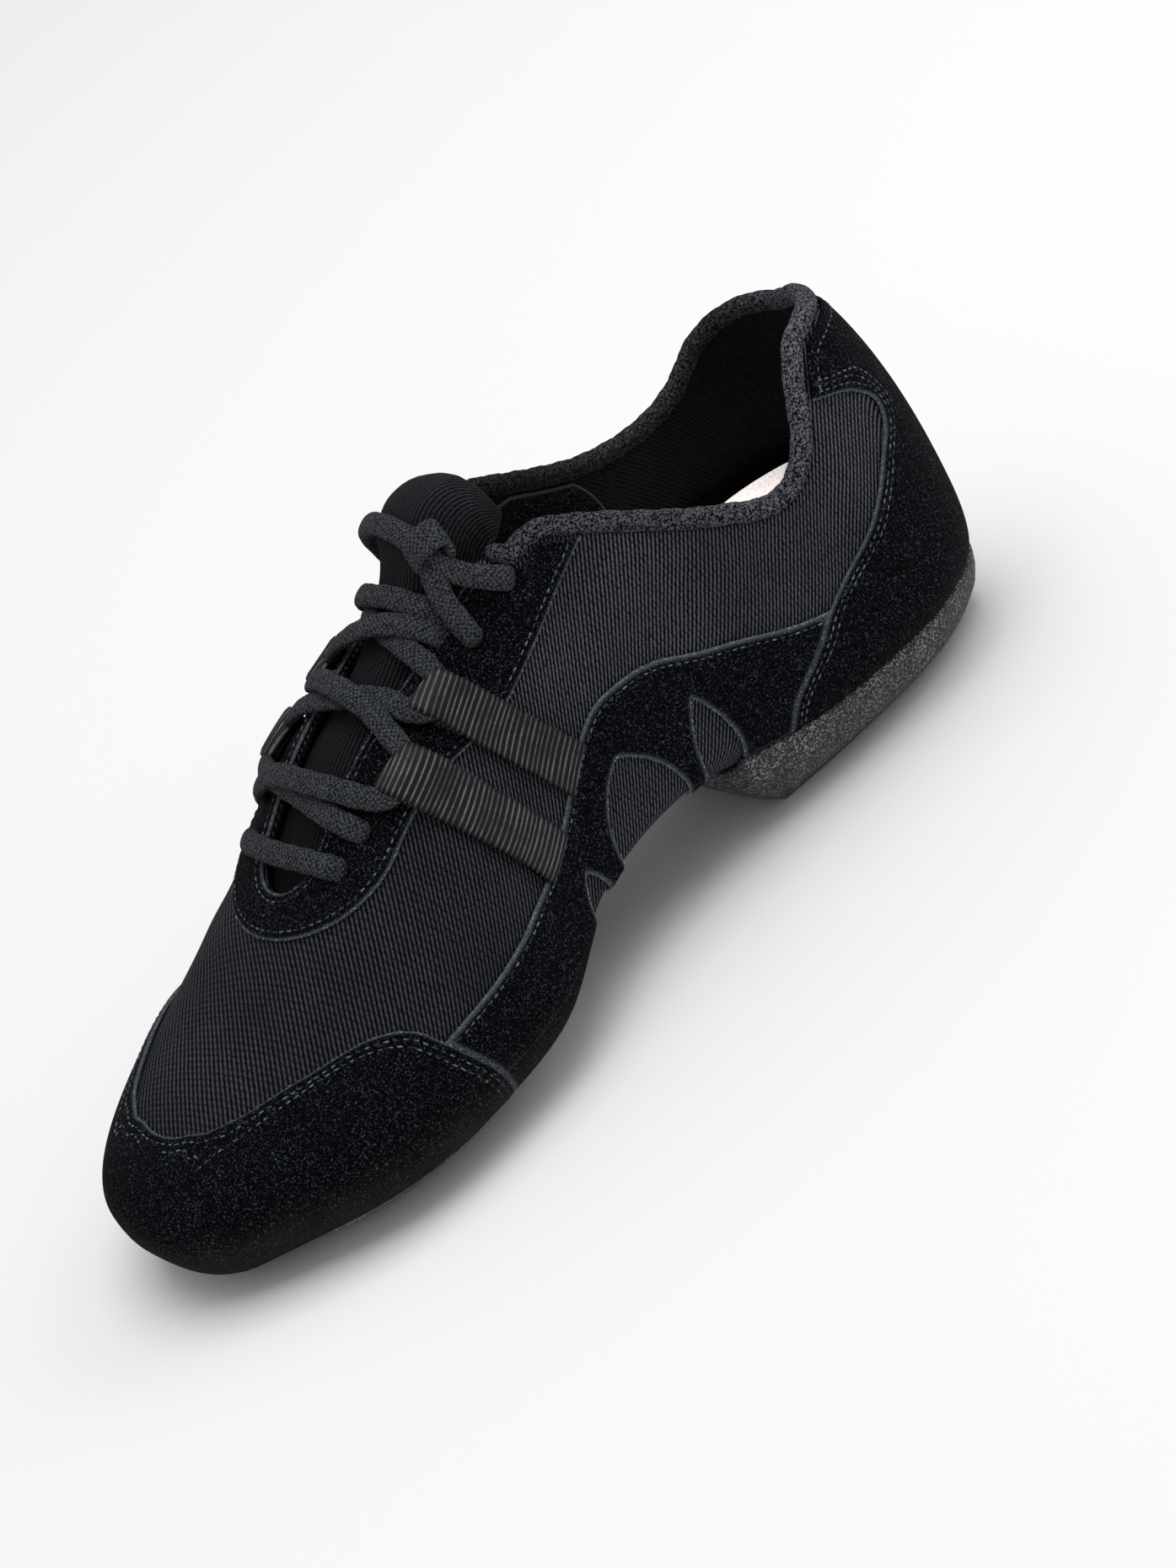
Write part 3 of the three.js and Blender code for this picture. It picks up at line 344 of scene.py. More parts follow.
class ShoeColours(bpy.types.PropertyGroup):
    """Main colour of each finish."""

    suede: FloatVectorProperty(
        name="Suede", description="Colour of the suede overlays",
        subtype="COLOR", size=3, default=linear("040507"), min=0, max=1)
    # The knit colour is drawn on the rib tops as painted highlight, against painted shade in the gaps.
    knit: FloatVectorProperty(
        name="Knit", description="Colour of the ribs of the upper's knit",
        subtype="COLOR", size=3, default=linear("5a5d64"), min=0, max=1)
    lace: FloatVectorProperty(
        name="Lace", description="Colour of the lace",
        subtype="COLOR", size=3, default=linear("404347"), min=0, max=1)
    rubber: FloatVectorProperty(
        name="Rubber", description="Colour of both rubber soles",
        subtype="COLOR", size=3, default=linear("35363a"), min=0, max=1)
    insole: FloatVectorProperty(
        name="Insole", description="Colour of the insole's cloth",
        subtype="COLOR", size=3, default=linear("faf1ee"), min=0, max=1)


# Curves through tables

def through(rows, column=1):
    """Smooth curve through one column of a table, as a function of the first column."""
    places = np.array([row[0] for row in rows], float)
    values = np.array([row[column] for row in rows], float)
    spans = np.diff(places)
    slope = np.diff(values) / spans
    tangent = np.empty(len(places))
    tangent[0] = slope[0]
    tangent[-1] = slope[-1]
    tangent[1:-1] = (slope[:-1] * spans[1:] + slope[1:] * spans[:-1]) / (spans[:-1] + spans[1:])

    def at(place):
        i = np.clip(np.searchsorted(places, place) - 1, 0, len(slope) - 1)
        t = np.clip((place - places[i]) / spans[i], 0, 1)
        return ((2 * t**3 - 3 * t**2 + 1) * values[i]
                + (t**3 - 2 * t**2 + t) * spans[i] * tangent[i]
                + (3 * t**2 - 2 * t**3) * values[i + 1]
                + (t**3 - t**2) * spans[i] * tangent[i + 1])
    return at


LAST = {name: through(LAST_ROWS, column) for column, name in enumerate(LAST_COLUMNS, 1)}
collar_outer = through(COLLAR_ROWS, 1)
collar_inner = through(COLLAR_ROWS, 2)
seat_line = through(SEAT_ROWS)
panel_top_line = through(PANEL_TOP_ROWS)
counter_line = through(COUNTER_ROWS)
toe_cap_line = through(TOE_CAP_ROWS)
heel_rim_line = through(HEEL_RIM_ROWS)
under_edge_line = through(UNDER_EDGE_ROWS)


def square(share, column):
    return np.interp(share, [row[0] for row in SQUARE_ROWS], [row[column] for row in SQUARE_ROWS])


def close_at(share, key, at_toe):
    """One at mid-shoe, falling to nought at the heel or the toe."""
    reach, power = CLOSING[key]
    inside = 1 - share if at_toe else share
    s = np.clip((reach - inside) / reach, 0, 1)
    return np.maximum(1 - s**power, 0) ** (1 / power)


def section_at(share, side):
    """Sizes of the section at a share of the length, on one side of the foot, in millimetres."""
    toe = "lateral_toe" if side > 0 else "medial_toe"
    half = LAST["lateral" if side > 0 else "medial"](share) * BALL_WIDTH
    widest = LAST["widest"](share) * INSTEP_HEIGHT
    rise = LAST["top"](share) * INSTEP_HEIGHT - widest
    drop = widest - LAST["under"](share) * HEEL_LIFT
    return {
        "middle": LAST["centre"](share) * BALL_WIDTH,
        "half": half * close_at(share, "heel_width", False) * close_at(share, toe, True),
        "widest": widest,
        "rise": rise * close_at(share, "heel_top", False) * close_at(share, "toe_top", True),
        "drop": drop * close_at(share, "heel_under", False) * close_at(share, "toe_under", True),
        "across": square(share, 1),
        "up": square(share, 2),
    }


def half_section(share, side):
    """Half a section from the bottom centre to the crest: points y, z, and distance from the crest."""
    s = section_at(share, side)
    turn = np.linspace(0, math.pi / 2, SECTION_STEPS)
    lower = np.column_stack([
        s["half"] * np.sin(turn) ** (2 / LOWER_ACROSS),
        s["widest"] - s["drop"] * np.maximum(np.cos(turn), 0) ** (2 / LOWER_UP),
    ])
    upper = np.column_stack([
        s["half"] * np.maximum(np.cos(turn), 0) ** (2 / s["across"]),
        s["widest"] + s["rise"] * np.sin(turn) ** (2 / s["up"]),
    ])
    outline = np.vstack([lower, upper[1:]])
    run = np.concatenate([[0], np.cumsum(np.hypot(*np.diff(outline, axis=0).T))])
    lower_rows = round(ROWS * LOWER_SHARE)
    bend = run[len(turn) - 1]
    goal = np.concatenate([
        np.linspace(0, bend, lower_rows + 1),
        np.linspace(bend, run[-1], ROWS - lower_rows + 1)[1:],
    ])
    y = s["middle"] + side * np.interp(goal, run, outline[:, 0])
    z = np.interp(goal, run, outline[:, 1])
    return y, z, side * (run[-1] - goal)


class Surface:
    """The closed surface of the last: points, normals, girth and triangles."""

    def __init__(self):
        points, above, girth, ring = [], [], [], []
        lower_rows = round(ROWS * LOWER_SHARE)
        level = np.concatenate([np.arange(ROWS + 1), np.arange(ROWS - 1, 0, -1)]) >= lower_rows
        count = 0
        for i in range(STATIONS + 1):
            even = i / STATIONS
            share = END_CROWDING * (0.5 - 0.5 * math.cos(math.pi * even)) + (1 - END_CROWDING) * even
            y1, z1, g1 = half_section(share, 1)
            y2, z2, g2 = half_section(share, -1)
            y = np.concatenate([y1, y2[1:-1][::-1]])
            z = np.concatenate([z1, z2[1:-1][::-1]])
            g = np.concatenate([g1, g2[1:-1][::-1]])
            if i in (0, STATIONS):
                y, g = y[:1], g[-1:]
                z = np.array([section_at(share, 1)["widest"]])
                ring.append(np.full(2 * ROWS, count))
                above.append(np.array([False]))
            else:
                ring.append(count + np.arange(2 * ROWS))
                above.append(level)
            points.append(np.column_stack([np.full(len(y), share * SHOE_LENGTH), y, z]))
            girth.append(g)
            count += len(y)
        self.points = np.vstack(points)
        self.above = np.concatenate(above)
        self.girth = np.concatenate(girth)
        faces = []
        for one, two in zip(ring, ring[1:]):
            a, b, c, d = one, np.roll(one, -1), np.roll(two, -1), two
            faces.append(np.column_stack([a, b, c])[a != b])
            faces.append(np.column_stack([a, c, d])[c != d])
        self.triangles = np.vstack(faces)
        self.normals = vertex_normals(self.points, self.triangles)


def vertex_normals(points, triangles):
    a, b, c = (points[triangles[:, k]] for k in range(3))
    cross = np.cross(b - a, c - a)
    normals = np.zeros_like(points)
    for k in range(3):
        np.add.at(normals, triangles[:, k], cross)
    return unit(normals)


def unit(vectors):
    return vectors / np.maximum(np.linalg.norm(vectors, axis=-1, keepdims=True), 1e-12)


surface = Surface()
X, Y, Z = surface.points.T
SHARE = X / SHOE_LENGTH
ABOVE = surface.above


def middle_at(x):
    return LAST["centre"](x / SHOE_LENGTH) * BALL_WIDTH


OUT = Y - middle_at(X)
FAR = 40.0


def field(raw):
    """Divide a measure by its own slope on the surface, which makes it a distance in millimetres."""
    a, b, c = (surface.triangles[:, k] for k in range(3))
    e1 = surface.points[b] - surface.points[a]
    e2 = surface.points[c] - surface.points[a]
    g11 = (e1 * e1).sum(1)
    g12 = (e1 * e2).sum(1)
    g22 = (e2 * e2).sum(1)
    determinant = g11 * g22 - g12 * g12
    good = determinant > 1e-8
    d1 = raw[b] - raw[a]
    d2 = raw[c] - raw[a]
    square_slope = (g22 * d1 * d1 - 2 * g12 * d1 * d2 + g11 * d2 * d2) / np.where(good, determinant, 1)
    area = np.where(good, np.sqrt(np.maximum(determinant, 0)), 0)
    steep = np.sqrt(np.maximum(square_slope, 0)) * area
    slope = np.zeros(len(raw))
    weight = np.zeros(len(raw))
    for corner in (a, b, c):
        np.add.at(slope, corner, steep)
        np.add.at(weight, corner, area)
    return raw / np.maximum(slope / np.maximum(weight, 1e-9), 0.2)


def slot_inside(x, out, front, round_end, top_half, back):
    """Distance inside a round-ended slot that widens toward the ankle."""
    t = (np.minimum(x, front - round_end) - (front - round_end)) / (THROAT_TOP - (front - round_end))
    half = round_end + t * (top_half - round_end)
    straight = np.minimum(half - np.abs(out), x - back)
    return np.where(x > front - round_end, round_end - np.hypot(x - (front - round_end), out), straight)


def oval(centre, length, width, squareness):
    """Distance inside an oval seen from below."""
    u = np.abs(X - centre) / length
    v = np.abs(OUT) / width
    radius = (u**squareness + v**squareness) ** (1 / squareness)
    return field(np.where(ABOVE, -FAR, (1 - radius) * min(length, width)))


def degrees_round():
    angle = np.degrees(np.arctan2(Z - TOE_CAP_CENTRE * INSTEP_HEIGHT, OUT))
    return np.where(angle < -90, angle + 360, angle)


def notch_discs(row):
    """Two discs whose overlap is a lens-shaped notch, as seen from the side."""
    at, height, half, sag = row[0] * SHOE_LENGTH, *(value * INSTEP_HEIGHT for value in row[1:])
    radius = (half * half + sag * sag) / (2 * sag)
    return [field(radius - np.hypot(X - (at + way * (radius - sag)), Z - height)) for way in (1, -1)]


def under_edge():
    section = section_at(SHARE, 1)
    half = np.where(OUT > 0, section["half"], section_at(SHARE, -1)["half"])
    kept = under_edge_line(SHARE)
    above_widest = (1 - kept) * half + Z - section["widest"]
    return field(np.where(ABOVE, above_widest, np.abs(OUT) - kept * half))


outer_share = np.clip((OUT + COLLAR_BLEND) / (2 * COLLAR_BLEND), 0, 1)
outer_share = outer_share**2 * (3 - 2 * outer_share)
collar_height = INSTEP_HEIGHT * (
    collar_inner(SHARE) + (collar_outer(SHARE) - collar_inner(SHARE)) * outer_share)
below_collar = field(np.where(X > THROAT_TOP + 14, FAR, collar_height - Z))
before_counter = field(X - counter_line(Z / INSTEP_HEIGHT) * SHOE_LENGTH)
in_toe_cap = field(X - toe_cap_line(degrees_round()) * SHOE_LENGTH)
below_panel_top = field(panel_top_line(SHARE) * INSTEP_HEIGHT - Z)
on_lateral = field(OUT)
in_throat = field(np.where(
    ABOVE, slot_inside(X, OUT, THROAT_FRONT, THROAT_ROUND, THROAT_TOP_HALF, THROAT_BACK), -FAR))
in_eyestay = field(np.where(
    ABOVE, slot_inside(X, OUT, EYESTAY_FRONT, EYESTAY_ROUND, EYESTAY_TOP_HALF, EYESTAY_BACK), -FAR))
in_tread = oval(TREAD_CENTRE, TREAD_LENGTH, TREAD_WIDTH, 2.5)
in_forefoot_opening = oval(
    TREAD_CENTRE, TREAD_LENGTH - OPENING_MARGIN, TREAD_WIDTH - OPENING_MARGIN, 2.3)
in_heel_opening = oval(HEEL_CENTRE, HEEL_OPENING_LENGTH, HEEL_OPENING_WIDTH, 2.2)
below_heel_rim = field(heel_rim_line(SHARE) * INSTEP_HEIGHT - Z)
behind_wedge_front = field(WEDGE_FRONT - X)
outside_under_edge = under_edge()
notches = [disc for row in NOTCH_ROWS for disc in notch_discs(row)]


# Points of the last by place along the shoe and distance from its middle line

def top_point(x, out):
    share = x / SHOE_LENGTH
    s = section_at(share, 1 if out > 0 else -1)
    reach = min(abs(out) / s["half"], 1)
    z = s["widest"] + s["rise"] * (1 - reach ** s["across"]) ** (1 / s["up"])
    return np.array([x, s["middle"] + out, z])


def top_normal(x, out):
    step = 1.5
    along = top_point(x + step, out) - top_point(x - step, out)
    across = top_point(x, out + step) - top_point(x, out - step)
    return unit(np.cross(along, across))


def under_point(x, out):
    s = section_at(x / SHOE_LENGTH, 1 if out > 0 else -1)
    sine = min(abs(out) / s["half"], 1) ** (LOWER_ACROSS / 2)
    z = s["widest"] - s["drop"] * (1 - sine * sine) ** (1 / LOWER_UP)
    return np.array([x, s["middle"] + out, z])


def under_normal(x, out):
    step = 1.5
    along = under_point(x + step, out) - under_point(x - step, out)
    across = under_point(x, out + step) - under_point(x, out - step)
    return unit(np.cross(across, along))


def throat_half(x):
    return float(slot_inside(
        min(x, THROAT_FRONT - THROAT_ROUND), 0.0, THROAT_FRONT, THROAT_ROUND, THROAT_TOP_HALF, -SHOE_LENGTH))


def eyestay_half(x):
    return float(slot_inside(
        min(x, EYESTAY_FRONT - EYESTAY_ROUND), 0.0, EYESTAY_FRONT, EYESTAY_ROUND, EYESTAY_TOP_HALF,
        -SHOE_LENGTH))


def place_on_top(x, side, height):
    """Point above the last: side is 1 at the outer eyelets and -1 at the inner ones."""
    out = side * (throat_half(x) + EYELET_INSET)
    return top_point(x, out) + top_normal(x, out) * height


EYELET_POINTS = np.array([
    place_on_top(at * SHOE_LENGTH, way * side, 0) for at, side in EYELETS for way in (1, -1)
])
eyelet_distance = np.min(
    np.linalg.norm(surface.points[:, None, :] - EYELET_POINTS[None, :, :], axis=2), axis=1)
in_eyelets = EYELET_RADIUS - eyelet_distance


# Creases placed on the flat cloth: from and to, each as a share of the length and of the
# girth's distance from the crest by the ball width, then width and height in millimetres
CREASE_ROWS = (
    (0.640, 0.300, 0.680, 0.520, 4.0, -0.55),
    (0.655, 0.280, 0.705, 0.500, 4.0, 0.40),
    (0.700, 0.340, 0.745, 0.540, 4.5, -0.45),
    (0.790, 0.060, 0.775, 0.300, 5.0, -0.50),
    (0.805, -0.250, 0.795, 0.080, 5.0, -0.40),
    (0.640, -0.560, 0.660, -0.320, 4.5, -0.60),
    (0.690, -0.600, 0.715, -0.340, 4.5, -0.50),
    (0.740, -0.560, 0.750, -0.330, 5.0, 0.40),
    (0.400, 0.350, 0.450, 0.520, 5.0, -0.60),
    (0.360, 0.400, 0.420, 0.580, 5.5, 0.45),
    (0.300, 0.520, 0.360, 0.620, 6.0, -0.60),
    (0.235, 0.560, 0.250, 0.760, 6.0, -0.55),
    (0.170, 0.640, 0.185, 0.860, 5.0, -0.50),
    (0.135, 0.600, 0.145, 0.780, 5.0, 0.45),
    (0.300, -0.620, 0.370, -0.480, 6.0, -0.60),
    (0.220, -0.760, 0.240, -0.540, 6.0, -0.55),
    (0.150, -0.820, 0.165, -0.620, 5.5, 0.45),
    (0.520, 0.420, 0.560, 0.620, 4.5, -0.40),
)


def crease_lift(x, girth):
    """How far the soft troughs and ridges lift the cloth at a place on it, in millimetres."""
    lift = np.zeros(len(x))
    for x1, g1, x2, g2, width, height in CREASE_ROWS:
        start = np.array([x1 * SHOE_LENGTH, g1 * BALL_WIDTH])
        along = np.array([x2 * SHOE_LENGTH, g2 * BALL_WIDTH]) - start
        place = np.column_stack([x, girth]) - start
        share = np.clip(place @ along / (along @ along), 0, 1)
        away = np.linalg.norm(place - share[:, None] * along, axis=1)
        fade = np.sin(math.pi * np.clip(0.15 + 0.7 * share, 0, 1))
        lift += height * fade * np.exp(-(away / width) ** 2)
    return lift


# Cutting patches out of the surface

class Patch:
    """Part of the surface: rows of data for each point, its triangles and its inner edge distance."""

    def __init__(self, data, triangles, edge, lines):
        used, index = np.unique(triangles, return_inverse=True)
        self.data = data[used]
        lift = crease_lift(self.data[:, 0], self.data[:, 6])
        self.data[:, 0:3] += self.data[:, 3:6] * lift[:, None]
        self.triangles = index.reshape(-1, 3)
        self.points = self.data[:, 0:3]
        self.normals = self.data[:, 3:6]
        self.girth = self.data[:, 6]
        self.edge = edge[used]
        self.lines = self.data[:, 7:7 + lines].T


def split(data, triangles, column):
    """Split every triangle that a line crosses, so that the line runs along edges."""
    value = data[:, column]
    signs = np.sign(value[triangles])
    up = (signs > 0).sum(1)
    down = (signs < 0).sum(1)
    crossed = (up > 0) & (down > 0)
    if not crossed.any():
        return data, triangles
    plain = triangles[~crossed]
    t = triangles[crossed]
    signs, up, down = signs[crossed], up[crossed], down[crossed]
    mid = (up == 1) & (down == 1)
    lone_sign = np.where(up == 1, 1, -1)
    lone = np.where(mid, np.argmin(np.abs(signs), 1), np.argmax(signs == lone_sign[:, None], 1))
    t = np.take_along_axis(t, (lone[:, None] + np.arange(3)) % 3, 1)
    a, b, c = t.T
    first = np.column_stack([np.where(mid, b, a), np.where(mid, c, b)])
    second = np.column_stack([a, c])[~mid]
    edges = np.sort(np.vstack([first, second]), axis=1)
    keys, inverse = np.unique(edges[:, 0] * len(data) + edges[:, 1], return_inverse=True)
    i, j = keys // len(data), keys % len(data)
    share = value[i] / (value[i] - value[j])
    made = data[i] + (data[j] - data[i]) * share[:, None]
    made[:, column] = 0
    m1 = len(data) + inverse[:len(t)]
    m2 = np.zeros(len(t), int)
    m2[~mid] = len(data) + inverse[len(t):]
    pieces = [
        plain,
        np.column_stack([a, b, m1])[mid],
        np.column_stack([a, m1, c])[mid],
        np.column_stack([a, m1, m2])[~mid],
        np.column_stack([m1, b, c])[~mid],
        np.column_stack([m1, c, m2])[~mid],
    ]
    return np.vstack([data, made]), np.vstack(pieces)


def largest_piece(triangles, count):
    """Keep the largest group of triangles that touch each other."""
    label = np.arange(count)
    while True:
        low = label[triangles].min(1)
        fresh = label.copy()
        for k in range(3):
            np.minimum.at(fresh, triangles[:, k], low)
        fresh = fresh[fresh]
        if (fresh == label).all():
            break
        label = fresh
    names, counts = np.unique(label[triangles[:, 0]], return_counts=True)
    return triangles[label[triangles[:, 0]] == names[np.argmax(counts)]]


def cut(lines, inside, bevels):
    """Cut the surface along lines and keep where inside(lines) is positive, with extra lines at bevels."""
    values = np.column_stack(lines)
    values[np.abs(values) < SNAP] = 0
    data = np.hstack([surface.points, surface.normals, surface.girth[:, None], values])
    triangles = surface.triangles
    reach = inside(*values.T)
    near = reach[triangles].max(1) > -CUT_MARGIN
    triangles = triangles[near]
    for column in range(7, data.shape[1]):
        data, triangles = split(data, triangles, column)
    middle = data[triangles][:, :, 7:].mean(1)
    triangles = largest_piece(triangles[inside(*middle.T) > 0], len(data))
    for bevel in bevels:
        edge = np.maximum(inside(*data[:, 7:7 + len(lines)].T), 0) - bevel
        edge[np.abs(edge) < SNAP] = 0
        data, triangles = split(np.column_stack([data, edge]), triangles, data.shape[1])
    edge = np.maximum(inside(*data[:, 7:7 + len(lines)].T), 0)
    return Patch(data, triangles, edge, len(lines))


# Meshes

class Body:
    """Vertices, triangles, material numbers and attributes of a mesh that is being put together."""

    def __init__(self):
        self.vertices, self.triangles, self.finish, self.cloth, self.edge = [], [], [], [], []
        self.count = 0

    def add(self, vertices, triangles, finish=0, cloth=None, edge=None):
        vertices = np.asarray(vertices, float)
        triangles = np.asarray(triangles, int).reshape(-1, 3)
        self.vertices.append(vertices)
        self.triangles.append(triangles + self.count)
        self.finish.append(np.full(len(triangles), finish) if np.isscalar(finish) else finish)
        self.cloth.append(np.zeros((len(vertices), 3)) if cloth is None else cloth)
        self.edge.append(np.full(len(vertices), 9.0) if edge is None else edge)
        self.count += len(vertices)

    def make(self, name, materials, node=None, slot=None, crease=None):
        mesh = bpy.data.meshes.new(name)
        vertices = (np.vstack(self.vertices) - [HEEL_CENTRE, 0, 0]) * MM
        triangles = np.vstack(self.triangles)
        mesh.vertices.add(len(vertices))
        mesh.vertices.foreach_set("co", vertices.ravel())
        mesh.loops.add(3 * len(triangles))
        mesh.loops.foreach_set("vertex_index", triangles.ravel())
        mesh.polygons.add(len(triangles))
        mesh.polygons.foreach_set("loop_start", np.arange(0, 3 * len(triangles), 3))
        for material in materials:
            mesh.materials.append(material)
        mesh.polygons.foreach_set("material_index", np.concatenate(self.finish).astype(int))
        mesh.polygons.foreach_set("use_smooth", np.ones(len(triangles), bool))
        mesh.attributes.new("cloth", "FLOAT_VECTOR", "POINT").data.foreach_set(
            "vector", np.vstack(self.cloth).ravel())
        mesh.attributes.new("edge", "FLOAT", "POINT").data.foreach_set("value", np.concatenate(self.edge))
        mesh.update(calc_edges=True)
        mesh.validate()
        if crease is not None:
            mesh.set_sharp_from_angle(angle=math.radians(crease))
        return fit(bpy.data.objects.new(name, mesh), node)


def fit(obj, node=None):
    """Put a finished piece in the scene, on the body, in place of its CAD node."""
    if obj.name not in bpy.context.scene.collection.objects:
        bpy.context.scene.collection.objects.link(obj)
    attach(obj, "root")
    if node:
        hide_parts(*([node] if isinstance(node, str) else node))
    return obj


def border(triangles):
    """Directed edges that only one triangle uses."""
    edges = np.vstack([triangles[:, [0, 1]], triangles[:, [1, 2]], triangles[:, [2, 0]]])
    size = triangles.max() + 1
    forward = edges[:, 0] * size + edges[:, 1]
    backward = edges[:, 1] * size + edges[:, 0]
    return edges[~np.isin(forward, backward)]


def sandwich(body, patch, levels, finishes=(0, 0)):
    """Close a patch between its first and last level, with the others as rows round its edge.
    The edge has the last level's finish."""
    size = len(patch.points)
    vertices = np.vstack(levels)
    top = patch.triangles
    bottom = patch.triangles[:, ::-1] + (len(levels) - 1) * size
    skirt = []
    a, b = border(patch.triangles).T
    for level in range(len(levels) - 1):
        here, there = level * size, (level + 1) * size
        skirt.append(np.column_stack([b + here, a + here, a + there]))
        skirt.append(np.column_stack([b + here, a + there, b + there]))
    skirt = np.vstack(skirt)
    triangles = np.vstack([top, bottom, skirt])
    finish = np.concatenate([
        np.full(len(top), finishes[0]), np.full(len(bottom) + len(skirt), finishes[1])])
    used, index = np.unique(triangles, return_inverse=True)
    body.add(
        vertices[used], index.reshape(-1, 3), finish,
        np.tile(weave(patch), (len(levels), 1))[used], np.tile(patch.edge, len(levels))[used])


# Direction of the knit's ribs on the flat cloth. They cross the shoe on a slant that turns between
# the quarters and the vamp: share of the length, and way across the ribs as a share of the length
RIB_ROWS = (
    (0.000, 0.0000),
    (0.250, 0.2250),
    (0.450, 0.4050),
    (0.600, 0.5250),
    (0.800, 0.6650),
    (1.000, 0.8010),
)
RIB_ALONG = 0.62
RIB_ROUND = 0.75


def weave(patch):
    """Place across and along the knit's ribs in millimetres, and the height on the shoe."""
    x = patch.points[:, 0]
    return np.column_stack([
        rib_line(x / SHOE_LENGTH) * SHOE_LENGTH - patch.girth * RIB_ALONG,
        x * RIB_ALONG + patch.girth * RIB_ROUND,
        patch.points[:, 2],
    ])


rib_line = through(RIB_ROWS)


# How an overlay rounds off at a cut edge: radius in millimetres, and share of its thickness left
EDGE_RADIUS = 1.1
EDGE_FLOOR = 0.45


def rounded(edge, radius):
    """Share of full thickness at a distance from a cut edge."""
    t = np.clip(edge / radius, 0, 1)
    return np.sqrt(np.maximum(1 - (1 - t) ** 2, 0))


def overlay_thickness(patch, thickness):
    """Thickness of an overlay, which thins toward its cut edges."""
    return thickness * (EDGE_FLOOR + (1 - EDGE_FLOOR) * rounded(patch.edge, EDGE_RADIUS))


def loft(rings):
    """Triangles that join rings of points, each a loop of the same count, with closed ends."""
    rings = np.asarray(rings)
    count, sides = rings.shape[:2]
    grid = np.arange(count * sides).reshape(count, sides)
    a = grid[:-1]
    b = np.roll(grid, -1, axis=1)[:-1]
    c = np.roll(grid, -1, axis=1)[1:]
    d = grid[1:]
    k = np.arange(1, sides - 1)
    last = (count - 1) * sides
    triangles = np.vstack([
        np.column_stack([a.ravel(), b.ravel(), c.ravel()]),
        np.column_stack([a.ravel(), c.ravel(), d.ravel()]),
        np.column_stack([np.zeros_like(k), k + 1, k]),
        np.column_stack([np.full_like(k, last), last + k, last + k + 1]),
    ])
    points = rings.reshape(-1, 3)
    p = points[triangles]
    volume = (p[:, 0] * np.cross(p[:, 1], p[:, 2])).sum()
    return points, triangles if volume > 0 else triangles[:, ::-1]


def run_along(points):
    """Distance of each point of a row from the first, along the row."""
    return np.concatenate([[0], np.cumsum(np.linalg.norm(np.diff(points, axis=0), axis=1))])


def resample(rows, run, places):
    """Rows at new places along a run, with each column read between its neighbours."""
    return np.column_stack([np.interp(places, run, column) for column in rows.T])


def smooth_path(stops, count):
    """Points at even steps on a smooth curve through stops."""
    stops = np.asarray(stops, float)
    run = run_along(stops)
    fine = np.linspace(0, run[-1], 40 * len(stops))
    curve = np.column_stack([
        through(np.column_stack([run, stops[:, k]]))(fine) for k in range(stops.shape[1])])
    length = run_along(curve[:, :3])
    return resample(curve, length, np.linspace(0, length[-1], count))


def tube(path, ups, width, height, sides=16, square_power=2.3, taper=None):
    """An oval tube along a path whose width lies across the given up directions."""
    along = unit(np.gradient(path, axis=0))
    across = unit(np.cross(along, ups))
    up = unit(np.cross(across, along))
    turn = (np.arange(sides) + 0.5) / sides * 2 * math.pi
    cosine, sine = np.cos(turn), np.sin(turn)
    wide = np.sign(cosine) * np.abs(cosine) ** (2 / square_power) * width / 2
    high = np.sign(sine) * np.abs(sine) ** (2 / square_power) * height / 2
    scale = np.ones(len(path)) if taper is None else taper
    rings = (path[:, None, :]
             + across[:, None, :] * (wide[None, :, None] * scale[:, None, None])
             + up[:, None, :] * (high[None, :, None] * scale[:, None, None]))
    run = run_along(path)
    round_the_tube = np.concatenate([[0], np.cumsum(np.hypot(np.diff(wide), np.diff(high)))])
    cloth = np.dstack([
        np.tile(round_the_tube, (len(path), 1)), np.tile(run[:, None], (1, sides)),
        np.tile(high, (len(path), 1))]).reshape(-1, 3)
    points, triangles = loft(rings)
    return points, triangles, cloth


def iso_lines(patch, values, level):
    """Chains of points and normals where a value of the patch passes a level."""
    v = values - level
    v = np.where(np.abs(v) < 1e-6, 1e-6, v)
    t = patch.triangles
    signs = v[t] > 0
    crossed = signs.any(1) & ~signs.all(1)
    t, signs = t[crossed], signs[crossed]
    lone = np.argmax(signs == (signs.sum(1) == 1)[:, None], 1)
    t = np.take_along_axis(t, (lone[:, None] + np.arange(3)) % 3, 1)
    size = len(patch.points)
    edges = np.vstack([t[:, [0, 1]], t[:, [0, 2]]])
    edges.sort(axis=1)
    keys, inverse = np.unique(edges[:, 0] * size + edges[:, 1], return_inverse=True)
    i, j = keys // size, keys % size
    share = (v[i] / (v[i] - v[j]))[:, None]
    rows = patch.data[i, :6] + (patch.data[j, :6] - patch.data[i, :6]) * share
    links = inverse.reshape(2, -1).T
    near = [[] for _ in keys]
    for a, b in links.tolist():
        near[a].append(b)
        near[b].append(a)
    seen = np.zeros(len(keys), bool)
    chains = []
    for start in [k for k in range(len(keys)) if len(near[k]) == 1] + list(range(len(keys))):
        if seen[start]:
            continue
        chain = [start]
        seen[start] = True
        while True:
            nexts = [k for k in near[chain[-1]] if not seen[k]]
            if not nexts:
                break
            seen[nexts[0]] = True
            chain.append(nexts[0])
        if len(chain) > 3:
            chains.append(rows[chain])
    return chains


